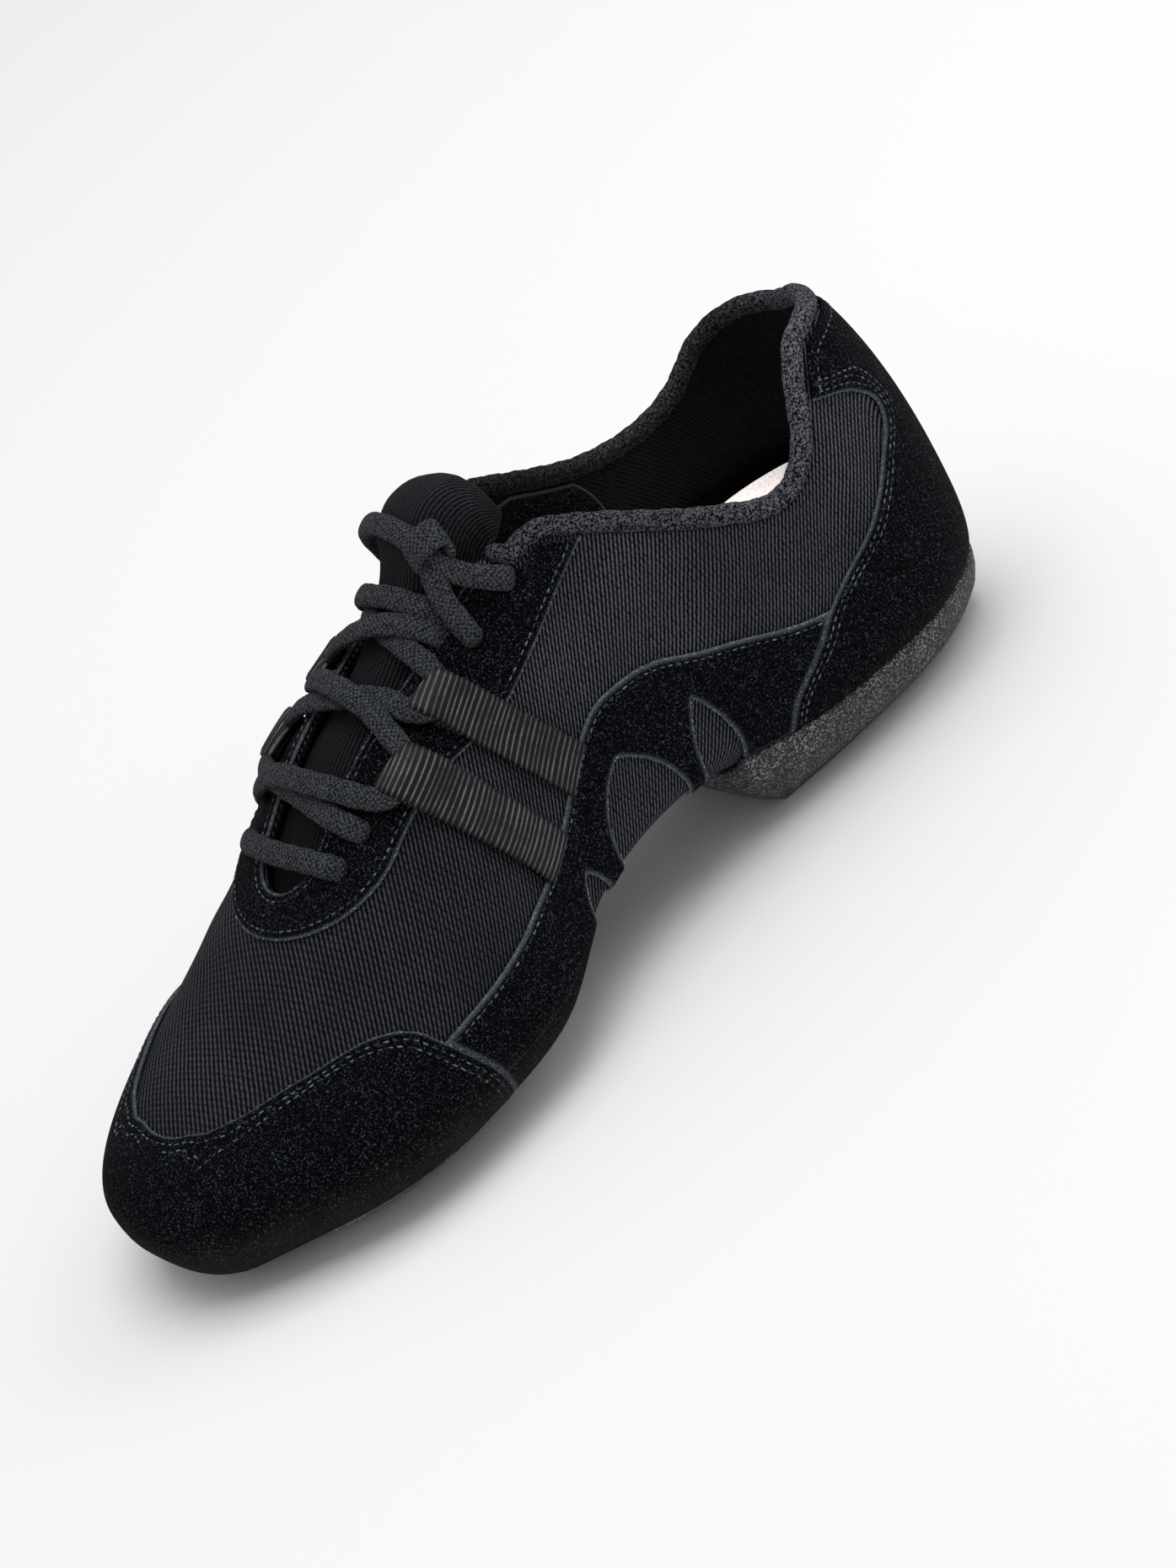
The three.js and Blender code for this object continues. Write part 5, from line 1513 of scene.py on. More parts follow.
class SHOE_OT_lining(ShoeOperator):
    """Add the suede patch and the seam inside the inner quarter."""

    bl_idname = "shoe.lining"
    bl_label = "Lining patch and seam"

    def make(self, context):
        reach = np.hypot(
            (SHARE - INNER_PATCH["at"]) / INNER_PATCH["half_length"],
            (Z / INSTEP_HEIGHT - INNER_PATCH["height"]) / INNER_PATCH["half_height"])
        in_patch = field((1 - reach) * INNER_PATCH["half_height"] * INSTEP_HEIGHT)
        patch = cut(
            [in_patch, below_collar - 0.8, on_lateral, in_throat + 0.8],
            lambda near, collar, lateral, throat: np.minimum.reduce([near, collar, -lateral, -throat]),
            OVERLAY_BEVELS)
        depth = FABRIC_WALL + 0.1 + overlay_thickness(patch, INNER_PATCH_THICKNESS)
        body = Body()
        sandwich(body, patch, [
            patch.points - patch.normals * (FABRIC_WALL - 0.2),
            patch.points - patch.normals * depth[:, None]])
        body.make("suede_inner_patch", [suede()], None, "suede")
        self.seam()

    def seam(self):
        """A felled seam down the lining, from the collar to the insole."""
        x = INNER_SEAM_AT * SHOE_LENGTH
        top = float(collar_inner(INNER_SEAM_AT)) * INSTEP_HEIGHT - 1
        near = (np.abs(X - x) < 3) & (OUT < 0) & (Z > 40) & (Z < top)
        order = np.argsort(Z[near])
        heights = np.linspace(44, top, 40)
        points = surface.points[near][order]
        normals = surface.normals[near][order]
        path = np.column_stack([np.interp(heights, points[:, 2], points[:, k]) for k in range(3)])
        out = np.column_stack([np.interp(heights, points[:, 2], normals[:, k]) for k in range(3)])
        path[:, 0] = x + 0.6 * np.sin(heights / 5)
        points, triangles, cloth = tube(path - unit(out) * (FABRIC_WALL + 0.1), -out, 2.2, 0.9, 10)
        body = Body()
        body.add(points, triangles, 0, cloth)
        body.make("lining_seam", [lining()], None, "fabric")


# How wide the pale raw edge of each overlay is, against the toe cap's
RAW_EDGE = {
    "toe_cap": 0.8,
    "heel_counter": 0.9,
    "side_panel_lateral": 1.5,
    "side_panel_medial": 1.5,
    "eyestay": 0.9,
}
LAP = {"toe_cap": 0.2, "heel_counter": 0.2}

# Lines of each patch that are raw cut edges, where others are hidden under a roll or a sole
CUT_LINES = {"toe_cap": [0], "heel_counter": [0], "eyestay": [0, 1]}
FIBRE_STEP = 0.3
FIBRE_FLOOR = 9.0


# Loose fibres along the raw edges: size in metres and share of the places that carry one
FIBRE_SIZE = (0.0011, 0.00013, 0.00013)
FIBRE_SHARE = 0.62


class SHOE_OT_overlays(ShoeOperator):
    """Add the suede toe cap, heel counter, side panels and eyestay."""

    bl_idname = "shoe.overlays"
    bl_label = "Suede overlays"

    def make(self, context):
        PATCHES["toe_cap"] = toe_cap_patch()
        PATCHES["heel_counter"] = counter_patch()
        PATCHES["side_panel_lateral"] = panel_patch(1)
        PATCHES["side_panel_medial"] = panel_patch(-1)
        PATCHES["eyestay"] = eyestay_patch()
        for name, width in RAW_EDGE.items():
            patch = PATCHES[name]
            height = OVERLAY_BASE + overlay_thickness(patch, SUEDE + LAP.get(name, 0))
            levels = [
                patch.points + patch.normals * height[:, None],
                patch.points + patch.normals * OVERLAY_BASE,
            ]
            if name in CUT_LINES:
                patch.edge = np.abs(patch.lines[CUT_LINES[name]]).min(0)
            patch.edge = patch.edge / width
            body = Body()
            sandwich(body, patch, levels)
            body.make("suede_" + name, [suede()], name, "suede")
            self.fringe(name, patch, width)

    def fringe(self, name, patch, width):
        """Short fibres that stand off the raw edge."""
        random = np.random.default_rng(11)
        a, b = border(patch.triangles).T
        span = np.linalg.norm(patch.points[b] - patch.points[a], axis=1)
        count = np.maximum(1, np.round(span / FIBRE_STEP).astype(int))
        a, b = np.repeat(a, count), np.repeat(b, count)
        share = random.random(len(a))[:, None]
        points = patch.points[a] + (patch.points[b] - patch.points[a]) * share
        normals = patch.normals[a]
        along = unit(patch.points[b] - patch.points[a])
        out = unit(np.cross(along, normals))
        lean = random.normal(0, 0.8, (len(a), 2))
        fibre = unit(out * 0.6 + along * lean[:, :1] + normals * np.abs(lean[:, 1:]) * 0.5)
        height = OVERLAY_BASE + SUEDE * (0.35 + 0.5 * random.random(len(a)))
        points = points + normals * height[:, None] - out * 0.15
        raw = (points[:, 2] > FIBRE_FLOOR) & (patch.edge[a] < 0.3)
        shown = raw & (random.random(len(a)) < FIBRE_SHARE * width)
        places = np.column_stack([points, fibre, normals])[shown]
        repeat(
            "fibres_" + name, [places], FIBRE_SIZE, shared("fibre", fibre_material),
            "fibre", 4)


# Rows up the side of the heel rubber from the floor: share of the way down to the floor, and
# share of the way in from the rim to the floor's outline
HEEL_BULGE = ((0.97, 0.93), (0.9, 0.80), (0.75, 0.52), (0.55, 0.27), (0.3, 0.09), (0.1, 0.01))

# Tread: width of its bare rim in millimetres, squareness of its outline, and the share of the
# pitch that a pyramid takes up
TREAD_RIM = 6.5
TREAD_SQUARE = 2.5
TREAD_FILL = 0.92


class SHOE_OT_soles(ShoeOperator):
    """Add the two rubber soles."""

    bl_idname = "shoe.soles"
    bl_label = "Rubber soles"

    def make(self, context):
        self.heel()
        self.forefoot(context.scene.shoe_sizes)

    def heel(self):
        patch = cut([below_heel_rim, behind_wedge_front], np.minimum, (1.0,))
        flat = unit(patch.normals * [1, 1, 0])
        rim = patch.points + patch.normals * CLEARANCE + flat * RUBBER_LIP

        def foot(points, drop, scale):
            share = (points[:, 0] - HEEL_TOP["back"]) / (HEEL_TOP["front"] - HEEL_TOP["back"])
            x = HEEL_FLOOR["back"] + share * (HEEL_FLOOR["front"] - HEEL_FLOOR["back"])
            y = points[:, 1] * HEEL_FLOOR["half"] / HEEL_TOP["half"]
            return np.column_stack([
                points[:, 0] + (x - points[:, 0]) * scale,
                points[:, 1] + (y - points[:, 1]) * scale,
                points[:, 2] * (1 - drop)])

        levels = [foot(patch.points, 1, 1)]
        for drop, scale in HEEL_BULGE:
            side = patch.points + (rim - patch.points) * (1 - scale)
            levels.append(foot(side, drop, scale))
        inner = rim - flat * 0.5
        levels += [rim - [0, 0, 0.4], inner, patch.points + patch.normals * CLEARANCE]
        patch.edge = np.full(len(patch.edge), 9.0)
        body = Body()
        sandwich(body, patch, levels)
        body.make("rubber_heel", [rubber()], "outsole_heel", "rubber", 60)

    def forefoot(self, sizes):
        depth = 1000 * sizes.tread_depth
        patch = cut([in_tread - 0.2], lambda tread: tread, (0.5, 1.5))
        lift = CLEARANCE + (FOREFOOT_RUBBER - depth) * (0.55 + 0.45 * rounded(patch.edge, 1.6))
        low = patch.points + patch.normals * lift[:, None]
        low[:, 2] = np.maximum(low[:, 2], depth)
        body = Body()
        sandwich(body, patch, [low, patch.points + patch.normals * CLEARANCE])
        body.make("rubber_forefoot", [rubber()], "outsole_forefoot", "rubber", 60)
        self.tread(sizes, depth)

    def tread(self, sizes, depth):
        """Pyramids in rows over the forefoot rubber, kept off its bare rim."""
        pitch = 1000 * sizes.tread_pitch
        places = []
        for x in np.arange(TREAD_CENTRE - TREAD_LENGTH, TREAD_CENTRE + TREAD_LENGTH, pitch):
            for y in np.arange(-TREAD_WIDTH, TREAD_WIDTH, pitch):
                along_share = abs(x - TREAD_CENTRE) / (TREAD_LENGTH - TREAD_RIM)
                across_share = abs(y) / (TREAD_WIDTH - TREAD_RIM)
                if along_share**TREAD_SQUARE + across_share**TREAD_SQUARE > 1:
                    continue
                normal = under_normal(x, y + 1e-6)
                foot = under_point(x, y + 1e-6) + normal * (CLEARANCE + FOREFOOT_RUBBER - depth)
                if foot[2] < depth:
                    foot[2] = depth
                    normal = np.array([0, 0, -1.0])
                places.append(np.concatenate([foot, [1.0, 0, 0], normal]))
        size = TREAD_FILL * sizes.tread_pitch
        repeat(
            "rubber_tread", [np.array(places)], (size, size, sizes.tread_depth),
            rubber(), "pyramid", 4)


# How far the edges of the seat rise over its middle, in millimetres
INSOLE_CUP = 6.5


class SHOE_OT_insole(ShoeOperator):
    """Add the insole."""

    bl_idname = "shoe.insole"
    bl_label = "Insole"

    def make(self, context):
        stations, columns = 100, 21
        depth = FABRIC_WALL + 3 * CLEARANCE

        def floor_point(x, column, width, extra):
            out = column * width * section_at(x / SHOE_LENGTH, 1 if column > 0 else -1)["half"]
            return under_point(x, out) - under_normal(x, out) * (depth + extra)

        rings = []
        for x in np.linspace(INSOLE_BACK, SHOE_LENGTH - INSOLE_END, stations):
            seat = float(seat_line(x / SHOE_LENGTH)) * INSTEP_HEIGHT
            rise = seat - floor_point(x, 0, INSOLE_WIDTH_SHARE, INSOLE)[2]
            share = min(max(rise / SEAT_DEPTH, 0), 1)
            width = INSOLE_WIDTH_SHARE + (SEAT_WIDTH_SHARE - INSOLE_WIDTH_SHARE) * share
            bottom, top = [], []
            for column in np.linspace(-1, 1, columns):
                bottom.append(floor_point(x, column, INSOLE_WIDTH_SHARE, 0))
                point = floor_point(x, column, width, INSOLE)
                point[2] = max(point[2], seat + INSOLE_CUP * share * abs(column) ** 3)
                top.append(point)
            rings.append(bottom + top[::-1])
        points, triangles = loft(rings)
        body = Body()
        body.add(points, triangles)
        body.make("lining_insole", [shared("insole", insole_material)], "insole", "insole", 50)


# Height of the roll, and how far it laps over the upper's edge, in millimetres
BINDING_HEIGHT = 5.0
BINDING_LAP = 0.2


class SHOE_OT_binding(ShoeOperator):
    """Add the knitted roll round the collar."""

    bl_idname = "shoe.binding"
    bl_label = "Collar binding"

    def make(self, context):
        patch = PATCHES["upper"]
        chain = max(iso_lines(patch, patch.lines[0], 0.05), key=len)
        rows = even_steps(chain, 1.0, 9)
        along = unit(np.gradient(rows[:, :3], axis=0))
        out = unit(rows[:, 3:6])
        up = unit(np.cross(along, out))
        up = np.where(up[:, 2:] < 0, -up, up)
        path = rows[:, :3] - out * FABRIC_WALL / 2 + up * (BINDING_HEIGHT / 2 - BINDING_LAP)
        run = np.arange(len(path))
        path = path + up * (0.12 * np.sin(run * 0.83) + 0.08 * np.sin(run * 2.1))[:, None]
        taper = np.ones(len(path))
        taper[:3] = taper[-3:][::-1] = (0.45, 0.8, 0.95)
        points, triangles, cloth = tube(path, up, BINDING_WIDTH, BINDING_HEIGHT, 20, 2.2, taper)
        body = Body()
        body.add(points, triangles, 0, cloth)
        body.make(
            "knit_collar_binding", [shared("terry", terry_material)], "collar_binding", "binding")


class SHOE_OT_tongue(ShoeOperator):
    """Add the padded tongue."""

    bl_idname = "shoe.tongue"
    bl_label = "Tongue"

    def make(self, context):
        half_line, lift_line, thick_line, sink_line = (through(TONGUE_ROWS, k) for k in range(1, 5))
        rings, cloth = [], []
        columns = np.linspace(-1, 1, 31)
        for share in np.linspace(TONGUE_ROWS[0][0], TONGUE_ROWS[-1][0], 80):
            x = share * SHOE_LENGTH
            half = float(half_line(share)) * BALL_WIDTH
            lift, thick, sink = (
                float(line(share)) * TONGUE_PADDING for line in (lift_line, thick_line, sink_line))
            shoulder = min(throat_half(x) - 2, half - 1)
            edge = -(FABRIC_WALL + sink)
            face, back = [], []
            for column in columns:
                out = column * half
                rise = lift * (1 - np.clip((abs(out) - (shoulder - 5)) / 5, 0, 1) ** 2)
                rise = rise if abs(out) < shoulder else 0
                out -= TONGUE_LEAN * rise
                point, normal = top_point(x, out + 1e-6), top_normal(x, out + 1e-6)
                depth = min(thick, lift + 0.6 * thick) if abs(column) < 1 else 1.6
                pinch = 1 - 0.55 * abs(column) ** 4
                face.append(point + normal * (edge + rise))
                back.append(point + normal * (edge + min(rise, 0.4 * thick) - depth * pinch))
            rings.append(face + back[::-1])
            across = run_along(face)
            across -= across[len(columns) // 2]
            ring_cloth = [(place, x * 1.1, 0) for place in across]
            cloth += ring_cloth + ring_cloth[::-1]
        first = np.array(rings[0])
        rings = [first.mean(0) + (first - first.mean(0)) * 0.6 - [1.5, 0, 0.5]] + rings
        cloth = cloth[:2 * len(columns)] + cloth
        points, triangles = loft(rings)
        body = Body()
        body.add(points, triangles, 0, np.array(cloth))
        body.make("padded_tongue", [padding_cloth()], "tongue", "tongue")


# Woven rib of the tapes: its pitch and how far it stands proud, in millimetres
TAPE_RIB = 1.38
TAPE_RIB_DEPTH = 0.13


class SHOE_OT_tapes(ShoeOperator):
    """Add the grosgrain loops that hold the lace."""

    bl_idname = "shoe.tapes"
    bl_label = "Tape loops"

    def make(self, context):
        material = shared("tape", tape_material)
        for row in TAPE_ROWS:
            for side, name in ((1, "lateral"), (-1, "medial")):
                self.tape(row, side, f"lace_tape_{row[0]}_{name}", material)

    def tape(self, row, side, node_name, material):
        _, at, height, lean, lace_out = row
        columns = np.linspace(-1, 1, 11)
        steps = 340

        def point_at(column, out, lift):
            z = height * INSTEP_HEIGHT
            for _ in range(6):
                x = at * SHOE_LENGTH + lean * (z - height * INSTEP_HEIGHT) + column * TAPE_WIDTH / 2
                z = top_point(x, side * out)[2]
            return top_point(x, side * out) + top_normal(x, side * out) * lift, x, z

        def out_at_panel(column):
            low, high = 12.0, 40.0
            for _ in range(24):
                out = (low + high) / 2
                _, x, z = point_at(column, out, 0)
                if z > panel_top_line(x / SHOE_LENGTH) * INSTEP_HEIGHT - 1.2:
                    low = out
                else:
                    high = out
            return low

        middle = TAPE_THICKNESS / 2
        on_fabric = CLEARANCE + middle
        on_suede = CLEARANCE + SUEDE + middle
        lace_height = on_suede + middle + LACE_THICKNESS / 2
        round_lace = LACE_THICKNESS / 2 + middle
        top = lace_height + round_lace
        slope, turn_out, tail = 8.0, LACE_WIDTH * 0.45 + middle, 5.0
        lines = []
        for column in columns:
            edge = eyestay_half(at * SHOE_LENGTH + column * TAPE_WIDTH / 2)
            outs = np.arange(out_at_panel(column), lace_out, -0.4)
            base = on_suede + (on_fabric - on_suede) * np.clip((outs - edge) / 1.5, 0, 1)
            hump = on_suede + (top - on_suede) * (
                0.5 + 0.5 * np.cos(math.pi * np.clip((outs - lace_out) / slope, 0, 1)))
            turn = np.linspace(0, math.pi, 16)
            stops = list(zip(outs, np.maximum(base, hump)))
            stops += list(zip(
                lace_out - turn_out * np.sin(turn), lace_height + round_lace * np.cos(turn)))
            stops += [(lace_out + tail * share, on_suede - 0.02) for share in (0.3, 0.6, 1.0)]
            line = np.array([point_at(column, out, lift)[0] for out, lift in stops])
            run = run_along(line)
            lines.append(resample(line, run, np.linspace(0, run[-1], steps)))
        grid = np.array(lines)
        normals = unit(np.cross(np.gradient(grid, axis=1), np.gradient(grid, axis=0)))
        if (normals[len(columns) // 2, 5] * [0, side, 1.0]).sum() < 0:
            normals = -normals
        run = run_along(grid[len(columns) // 2])
        run = run + 0.2 * np.sin(run * 0.55) + 0.06 * np.sin(run * 1.9 + at * 40)
        ribs = np.cos(run * 2 * math.pi / TAPE_RIB)
        lengthways = unit(grid[-1] - grid[0])
        grid[0] -= lengthways * (0.16 * ribs)[:, None]
        grid[-1] += lengthways * (0.16 * ribs)[:, None]
        self.skin(grid, normals, run, middle - TAPE_RIB_DEPTH * ribs, columns, node_name, material)

    def skin(self, grid, normals, run, thickness, columns, node_name, material):
        """Close a strip of points, one row for each column, to a ribbed tape."""
        count, steps = grid.shape[:2]
        thin_edge = np.where(np.abs(columns) == 1, 0.6, 1.0)[:, None, None]
        lift = normals * thickness[None, :, None] * thin_edge
        outer, inner = grid + lift, grid - lift
        rings = np.concatenate([outer, inner[::-1]]).transpose(1, 0, 2)
        across = np.broadcast_to((columns * TAPE_WIDTH / 2)[:, None], (count, steps))
        along = np.broadcast_to(run + TAPE_RIB / 2, (count, steps))
        cloth = np.dstack([across, along, np.zeros((count, steps))])
        cloth = np.concatenate([cloth, cloth[::-1]]).transpose(1, 0, 2).reshape(-1, 3)
        edge = TAPE_WIDTH / 2 - np.abs(across)
        edge = np.concatenate([edge, edge[::-1]]).T.ravel()
        points, triangles = loft(rings)
        body = Body()
        body.add(points, triangles, 0, cloth, edge)
        body.make("grosgrain_" + node_name.removeprefix("lace_"), [material], node_name, "tape")


# Lace routes as rows of share of the length, side and height in millimetres above the last
BAR = (
    (0.700, 1.12, -3.5), (0.700, 1.12, 0.5), (0.702, 0.96, 3.1), (0.705, 0.60, 3.6), (0.708, 0.10, 3.0),
    (0.707, -0.45, 3.4), (0.704, -0.85, 3.4), (0.701, -1.06, 2.6), (0.700, -1.14, 0.5), (0.700, -1.14, -3.5),
)
OUTER_STRAND = (
    (0.669, -1.23, -3.5), (0.669, -1.23, 0.8), (0.665, -1.10, 3.4), (0.660, -0.80, 4.4), (0.657, -0.35, 4.9),
    (0.657, 0.05, 4.9), (0.655, 0.50, 4.7), (0.651, 0.90, 4.5), (0.645, 1.22, 4.2), (0.637, 1.37, 3.9),
    (0.627, 1.40, 3.7), (0.616, 1.37, 3.7), (0.607, 1.30, 3.7), (0.602, 1.16, 3.7), (0.598, 0.96, 3.7),
    (0.592, 0.68, 4.2), (0.588, 0.34, 5.0), (0.585, -0.05, 5.2), (0.581, -0.42, 4.8), (0.578, -0.75, 4.2),
    (0.573, -0.98, 3.8), (0.565, -1.07, 3.7), (0.557, -1.07, 3.7), (0.549, -0.98, 3.7), (0.543, -0.70, 3.9),
    (0.537, -0.32, 4.3), (0.529, 0.00, 4.7), (0.522, 0.25, 4.6), (0.516, 0.46, 4.2), (0.511, 0.64, 2.8),
    (0.506, 0.78, -0.5), (0.502, 0.88, -3.5),
)
INNER_STRAND = (
    (0.669, 1.23, -3.5), (0.669, 1.23, 0.8), (0.670, 1.08, 2.9), (0.671, 0.78, 3.2), (0.670, 0.40, 2.4),
    (0.667, 0.00, 2.1), (0.662, -0.50, 2.3), (0.655, -0.92, 3.2), (0.646, -1.22, 3.8), (0.637, -1.37, 3.8),
    (0.627, -1.40, 3.7), (0.616, -1.37, 3.7), (0.607, -1.28, 3.7), (0.602, -1.08, 3.5), (0.598, -0.75, 3.1),
    (0.594, -0.30, 2.3), (0.588, 0.12, 2.1), (0.581, 0.45, 2.6), (0.576, 0.75, 3.4), (0.573, 0.98, 3.7),
    (0.566, 1.08, 3.7), (0.558, 1.09, 3.7), (0.549, 1.08, 3.7), (0.541, 1.03, 3.7), (0.535, 0.88, 3.6),
    (0.533, 0.65, 3.3), (0.531, 0.40, 2.4), (0.527, 0.10, 2.0), (0.520, -0.25, 2.1), (0.512, -0.55, 1.6),
    (0.504, -0.82, -0.6), (0.499, -0.95, -3.5),
)
TOP_STRAND = (
    (0.491, -1.00, -3.5), (0.491, -1.00, 0.8), (0.494, -0.90, 3.2), (0.500, -0.62, 4.4), (0.504, -0.30, 4.5),
    (0.503, 0.00, 4.5), (0.501, 0.28, 4.2), (0.498, 0.50, 3.2), (0.493, 0.70, 0.6), (0.487, 0.85, -3.5),
)
KNOT_PLACE = (0.459, 0.38, 8.2)
TOP_RUN = (
    (0.439, 0.98, -4.0), (0.439, 0.98, 0.8), (0.444, 0.93, 3.4), (0.452, 0.84, 4.6), (0.460, 0.70, 5.6),
    (0.464, 0.50, 7.4), (0.460, 0.25, 9.2), (0.457, -0.05, 10.2), (0.454, -0.50, 10.6),
    (0.449, -0.95, 8.0), (0.444, -1.16, 3.4), (0.440, -1.22, 0.6), (0.440, -1.22, -4.0))
LOW_RUN = (
    (0.491, 1.00, -6.0), (0.491, 1.00, -1.5), (0.491, 0.97, 1.6), (0.489, 0.84, 4.0), (0.484, 0.68, 5.6),
    (0.476, 0.54, 6.8), (0.467, 0.42, 7.6), (0.458, 0.33, 8.0), (0.449, 0.27, 8.0))


def lace_path(rows, count):
    stops = []
    for share, side, height in rows:
        x = share * SHOE_LENGTH
        out = side * (throat_half(x) + EYELET_INSET)
        normal = top_normal(x, out)
        stops.append(np.concatenate([top_point(x, out) + normal * height, normal]))
    path = smooth_path(np.array(stops), count)
    return path[:, :3], unit(path[:, 3:6])


class SHOE_OT_lace(ShoeOperator):
    """Add the lace: the bar, the zigzag strands, the knot and its runs."""

    bl_idname = "shoe.lace"
    bl_label = "Lace"

    def make(self, context):
        material = shared("lace", lace_material)
        self.strands("lace_bar", (BAR,), "lace_bar_front", material)
        crossings = [f"lace_crossing_{part}" for part in ("lower", "middle", "upper")]
        self.strands("lace_zigzag", (OUTER_STRAND, INNER_STRAND, TOP_STRAND), crossings, material)
        self.knot(material)

    def strand(self, body, path, ups):
        """One length of lace, a little uneven in width, as soft cotton is."""
        run = np.arange(len(path))
        swell = 1 + 0.035 * np.sin(run * 0.37) + 0.02 * np.sin(run * 1.13)
        points, triangles, cloth = tube(
            path, ups, LACE_WIDTH * 0.88, LACE_THICKNESS, 20, 2.15, swell)
        body.add(points, triangles, 0, cloth)

    def strands(self, name, routes, nodes, material):
        body = Body()
        for rows in routes:
            self.strand(body, *lace_path(rows, 14 * len(rows)))
        body.make(name, [material], nodes, "lace")

    def knot(self, material):
        for name, rows, nodes in (
                ("lace_top_run", TOP_RUN, ["lace_run_lateral_top", "lace_run_medial_top"]),
                ("lace_low_run", LOW_RUN, ["lace_run_lateral_low"])):
            path, ups = lace_path(rows, 60)
            body = Body()
            self.strand(body, path, ups)
            obj = body.make(name, [material], nodes, "lace")
            pieces = [self.knot_wraps(material)] if name == "lace_top_run" else []

    def knot_wraps(self, material):
        """Two turns of lace pulled tight round the runs."""
        x = KNOT_PLACE[0] * SHOE_LENGTH
        out = KNOT_PLACE[1] * (throat_half(x) + EYELET_INSET)
        normal = top_normal(x, out)
        centre = top_point(x, out) + normal * KNOT_PLACE[2]
        along = unit(np.array([0.55, 0.83, 0]) - normal * np.dot(normal, [0.55, 0.83, 0]))
        across = np.cross(normal, along)
        turn = np.linspace(0, 4 * math.pi, 90)
        lean = np.linspace(-2.6, 2.6, 90)
        path = (centre + np.outer(np.cos(turn) * 4.2, across) + np.outer(np.sin(turn) * 3.0, normal)
                + np.outer(lean, along))
        ups = unit(np.outer(np.cos(turn), across) + np.outer(np.sin(turn), normal))
        points, triangles, cloth = tube(path, ups, 5.2, 2.4)
        body = Body()
        body.add(points, triangles, 0, cloth)
        return body.make("lace_knot_wraps", [material], "lace_knot", "lace")


# Front end of the stitching along the toe cap, before the toe's tip
STITCH_END = 0.9485 * SHOE_LENGTH

# Rows of stitches: overlay, its line, side of the line, distance from it in millimetres,
# extra height of the overlay, and the level above which the row is sewn
STITCH_ROWS = (
    ("toe_cap", 0, 1, 1.9, 0.2, 0.0),
    ("toe_cap", 0, 1, 3.6, 0.2, 0.0),
    ("heel_counter", 0, -1, 1.6, 0.2, 0.0),
    ("heel_counter", 0, -1, 3.0, 0.2, 0.0),
    ("heel_counter", 0, -1, 4.4, 0.2, 66.0),
    ("heel_counter", 1, 1, 2.4, 0.2, 0.0),
    ("side_panel_lateral", 1, 1, 1.7, 0.0, 0.0),
    ("side_panel_medial", 1, 1, 1.7, 0.0, 0.0),
    ("eyestay", 1, 1, 1.8, 0.0, 0.0),
    ("eyestay", 0, -1, 2.0, 0.0, 0.0),
)


class SHOE_OT_stitches(ShoeOperator):
    """Add the rows of stitches."""

    bl_idname = "shoe.stitches"
    bl_label = "Stitches"

    def make(self, context):
        sizes = context.scene.shoe_sizes
        step = 1000 * sizes.stitch_pitch
        top = OVERLAY_BASE + SUEDE
        for name in RAW_EDGE:
            patch = PATCHES[name]
            places = []
            for row_name, line, sign, distance, extra, above in STITCH_ROWS:
                if row_name != name:
                    continue
                chains = iso_lines(patch, patch.lines[line] * sign, distance)
                chains = [chain for chain in chains if len(chain) > 6]
                places += stitch_places(chains, top + extra, step, above)
            repeat(
                "stitches_" + name, places, (sizes.stitch_length, sizes.thread_width, sizes.thread_width),
                thread())


# Camera fitted to the photograph, from degrees and millimetres
CAMERA_TARGET = (130.0 - HEEL_CENTRE, 0.0, 40.0)
CAMERA_ROUND = 25.2
CAMERA_UP = 30.23
CAMERA_ROLL = -30.38
CAMERA_DISTANCE = 1083.0
PHOTO_HEIGHT = 1860.0
FOCAL_PIXELS = 5607.9
OFF_CENTRE = (-62.1, 8.2)
SENSOR = 36.0

# Floor's half width in metres, and how bright the plain white surroundings are
FLOOR_HALF = 4.0
SKY_POWER = 0.55

# Soft boxes turned toward the middle of the shoe: name, place and size in metres, power in watts
SHOE_MIDDLE = (0.08, 0, 0.04)
SOFT_BOXES = (
    ("soft box above", (-0.05, 0.1, 1.7), 1.4, 17.0),
    ("soft box at the heel", (-1.1, 0.35, 0.8), 0.9, 3.2),
)

# Lamp that lights the seat inside the collar
SNOOT = {"power": 150.0, "degrees": 2.3, "place": (0.0, 0.01, 1.3), "target": (0.0, -0.006, 0.042)}


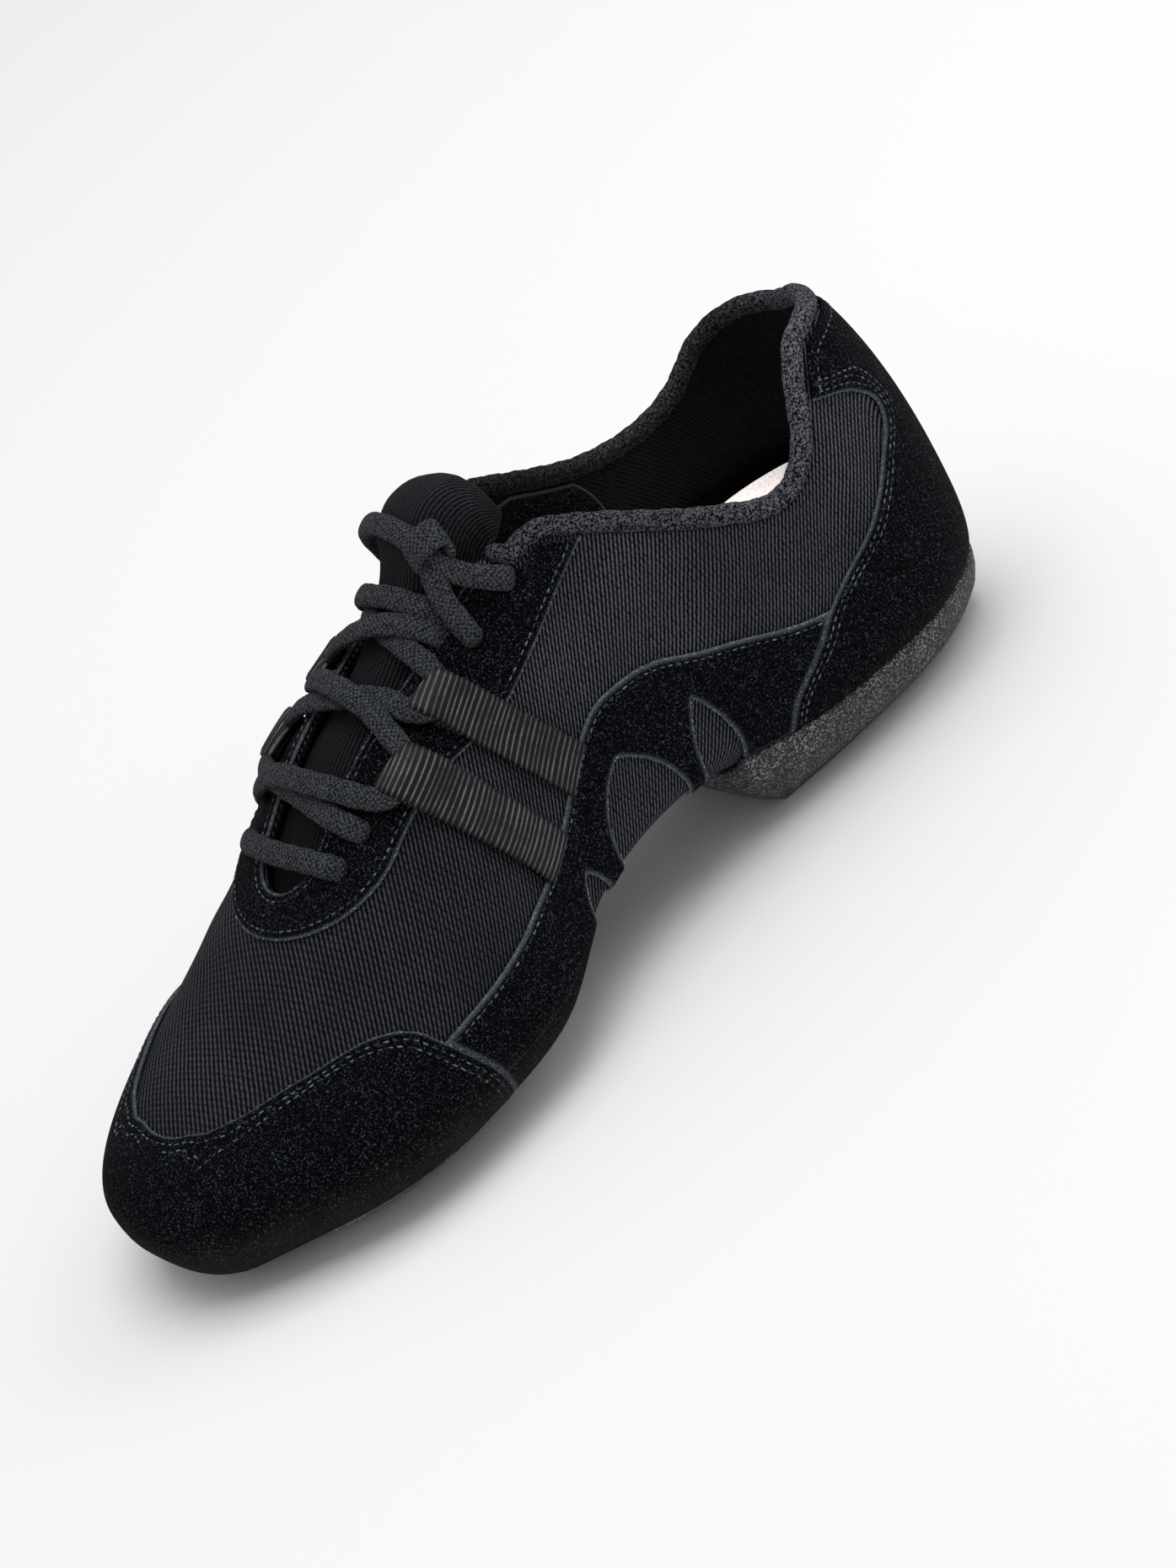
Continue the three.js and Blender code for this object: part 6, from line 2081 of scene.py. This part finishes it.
class SHOE_OT_stage(ShoeOperator):
    """Add the floor, the lights and the camera."""

    bl_idname = "shoe.stage"
    bl_label = "Stage"

    def make(self, context):
        self.camera(context.scene)
        self.floor(context.scene)
        self.lights(context.scene)
        context.scene.view_settings.view_transform = "Standard"

    def camera(self, scene):
        turn, rise, roll = (math.radians(v) for v in (CAMERA_ROUND, CAMERA_UP, CAMERA_ROLL))
        back = Vector((
            math.sin(turn) * math.cos(rise), math.cos(turn) * math.cos(rise), math.sin(rise)))
        right = Vector((0, 0, 1)).cross(back).normalized()
        up = back.cross(right)
        rolled_right = math.cos(roll) * right + math.sin(roll) * up
        rolled_up = -math.sin(roll) * right + math.cos(roll) * up
        data = bpy.data.cameras.new("camera")
        data.sensor_width = SENSOR
        data.lens = FOCAL_PIXELS / PHOTO_HEIGHT * SENSOR
        data.shift_x = -OFF_CENTRE[0] / PHOTO_HEIGHT
        data.shift_y = OFF_CENTRE[1] / PHOTO_HEIGHT
        camera = bpy.data.objects.new("camera", data)
        place = Vector(CAMERA_TARGET) * MM + back * CAMERA_DISTANCE * MM
        axes = Matrix((rolled_right, rolled_up, back)).transposed()
        camera.matrix_world = Matrix.Translation(place) @ axes.to_4x4()
        scene.collection.objects.link(camera)
        scene.camera = camera

    def floor(self, scene):
        mesh = bpy.data.meshes.new("floor")
        half = FLOOR_HALF
        corners = [(-half, -half, 0), (half, -half, 0), (half, half, 0), (-half, half, 0)]
        mesh.from_pydata(corners, [], [(0, 1, 2, 3)])
        floor = bpy.data.objects.new("floor", mesh)
        scene.collection.objects.link(floor)
        material, tree, shader = new_material("matt paper sweep", 1.0, 0.0)
        shader.inputs["Base Color"].default_value = (*linear("f4f4f4"), 1)
        mesh.materials.append(material)

    def lights(self, scene):
        world = bpy.data.worlds.new("studio")
        world.use_nodes = True
        background = world.node_tree.nodes["Background"]
        background.inputs[0].default_value = (*linear("fafafa"), 1)
        background.inputs[1].default_value = SKY_POWER
        scene.world = world
        for name, place, size, power in SOFT_BOXES:
            self.lamp(scene, name, "AREA", power, place, SHOE_MIDDLE, size=size)
        self.lamp(
            scene, "snoot", "SPOT", SNOOT["power"], SNOOT["place"], SNOOT["target"],
            spot_size=math.radians(SNOOT["degrees"]), spot_blend=0.6, shadow_soft_size=0.02)

    def lamp(self, scene, name, kind, power, place, target, **settings):
        """Add a lamp at a place, turned toward a target."""
        data = bpy.data.lights.new(name, kind)
        data.energy = power
        for setting, value in settings.items():
            setattr(data, setting, value)
        light = bpy.data.objects.new(name, data)
        light.location = place
        light.rotation_euler = (Vector(place) - Vector(target)).to_track_quat("Z", "Y").to_euler()
        scene.collection.objects.link(light)


OPERATORS = (
    SHOE_OT_stage,
    SHOE_OT_lace,
    SHOE_OT_upper,
    SHOE_OT_lining,
    SHOE_OT_overlays,
    SHOE_OT_soles,
    SHOE_OT_insole,
    SHOE_OT_binding,
    SHOE_OT_tongue,
    SHOE_OT_tapes,
    SHOE_OT_stitches,
)


class SHOE_PT_panel(bpy.types.Panel):
    """Panel that lists the shoe's pieces, sizes and colours."""

    bl_idname = "SHOE_PT_panel"
    bl_label = "Jazz shoe"
    bl_space_type = "VIEW_3D"
    bl_region_type = "UI"
    bl_category = "Jazz shoe"

    def draw(self, context):
        for kind in OPERATORS:
            self.layout.operator(kind.bl_idname)
        for group in (context.scene.shoe_sizes, context.scene.shoe_colours):
            for name in group.__annotations__:
                self.layout.prop(group, name)


CLASSES = (ShoeSizes, ShoeColours, *OPERATORS, SHOE_PT_panel)


def register():
    for kind in CLASSES:
        bpy.utils.register_class(kind)
    bpy.types.Scene.shoe_sizes = PointerProperty(type=ShoeSizes)
    bpy.types.Scene.shoe_colours = PointerProperty(type=ShoeColours)


def unregister():
    del bpy.types.Scene.shoe_sizes
    del bpy.types.Scene.shoe_colours
    for kind in reversed(CLASSES):
        bpy.utils.unregister_class(kind)


def main():
    register()
    for kind in OPERATORS:
        group, name = kind.bl_idname.split(".")
        getattr(getattr(bpy.ops, group), name)()


if __name__ == "__main__":
    main()
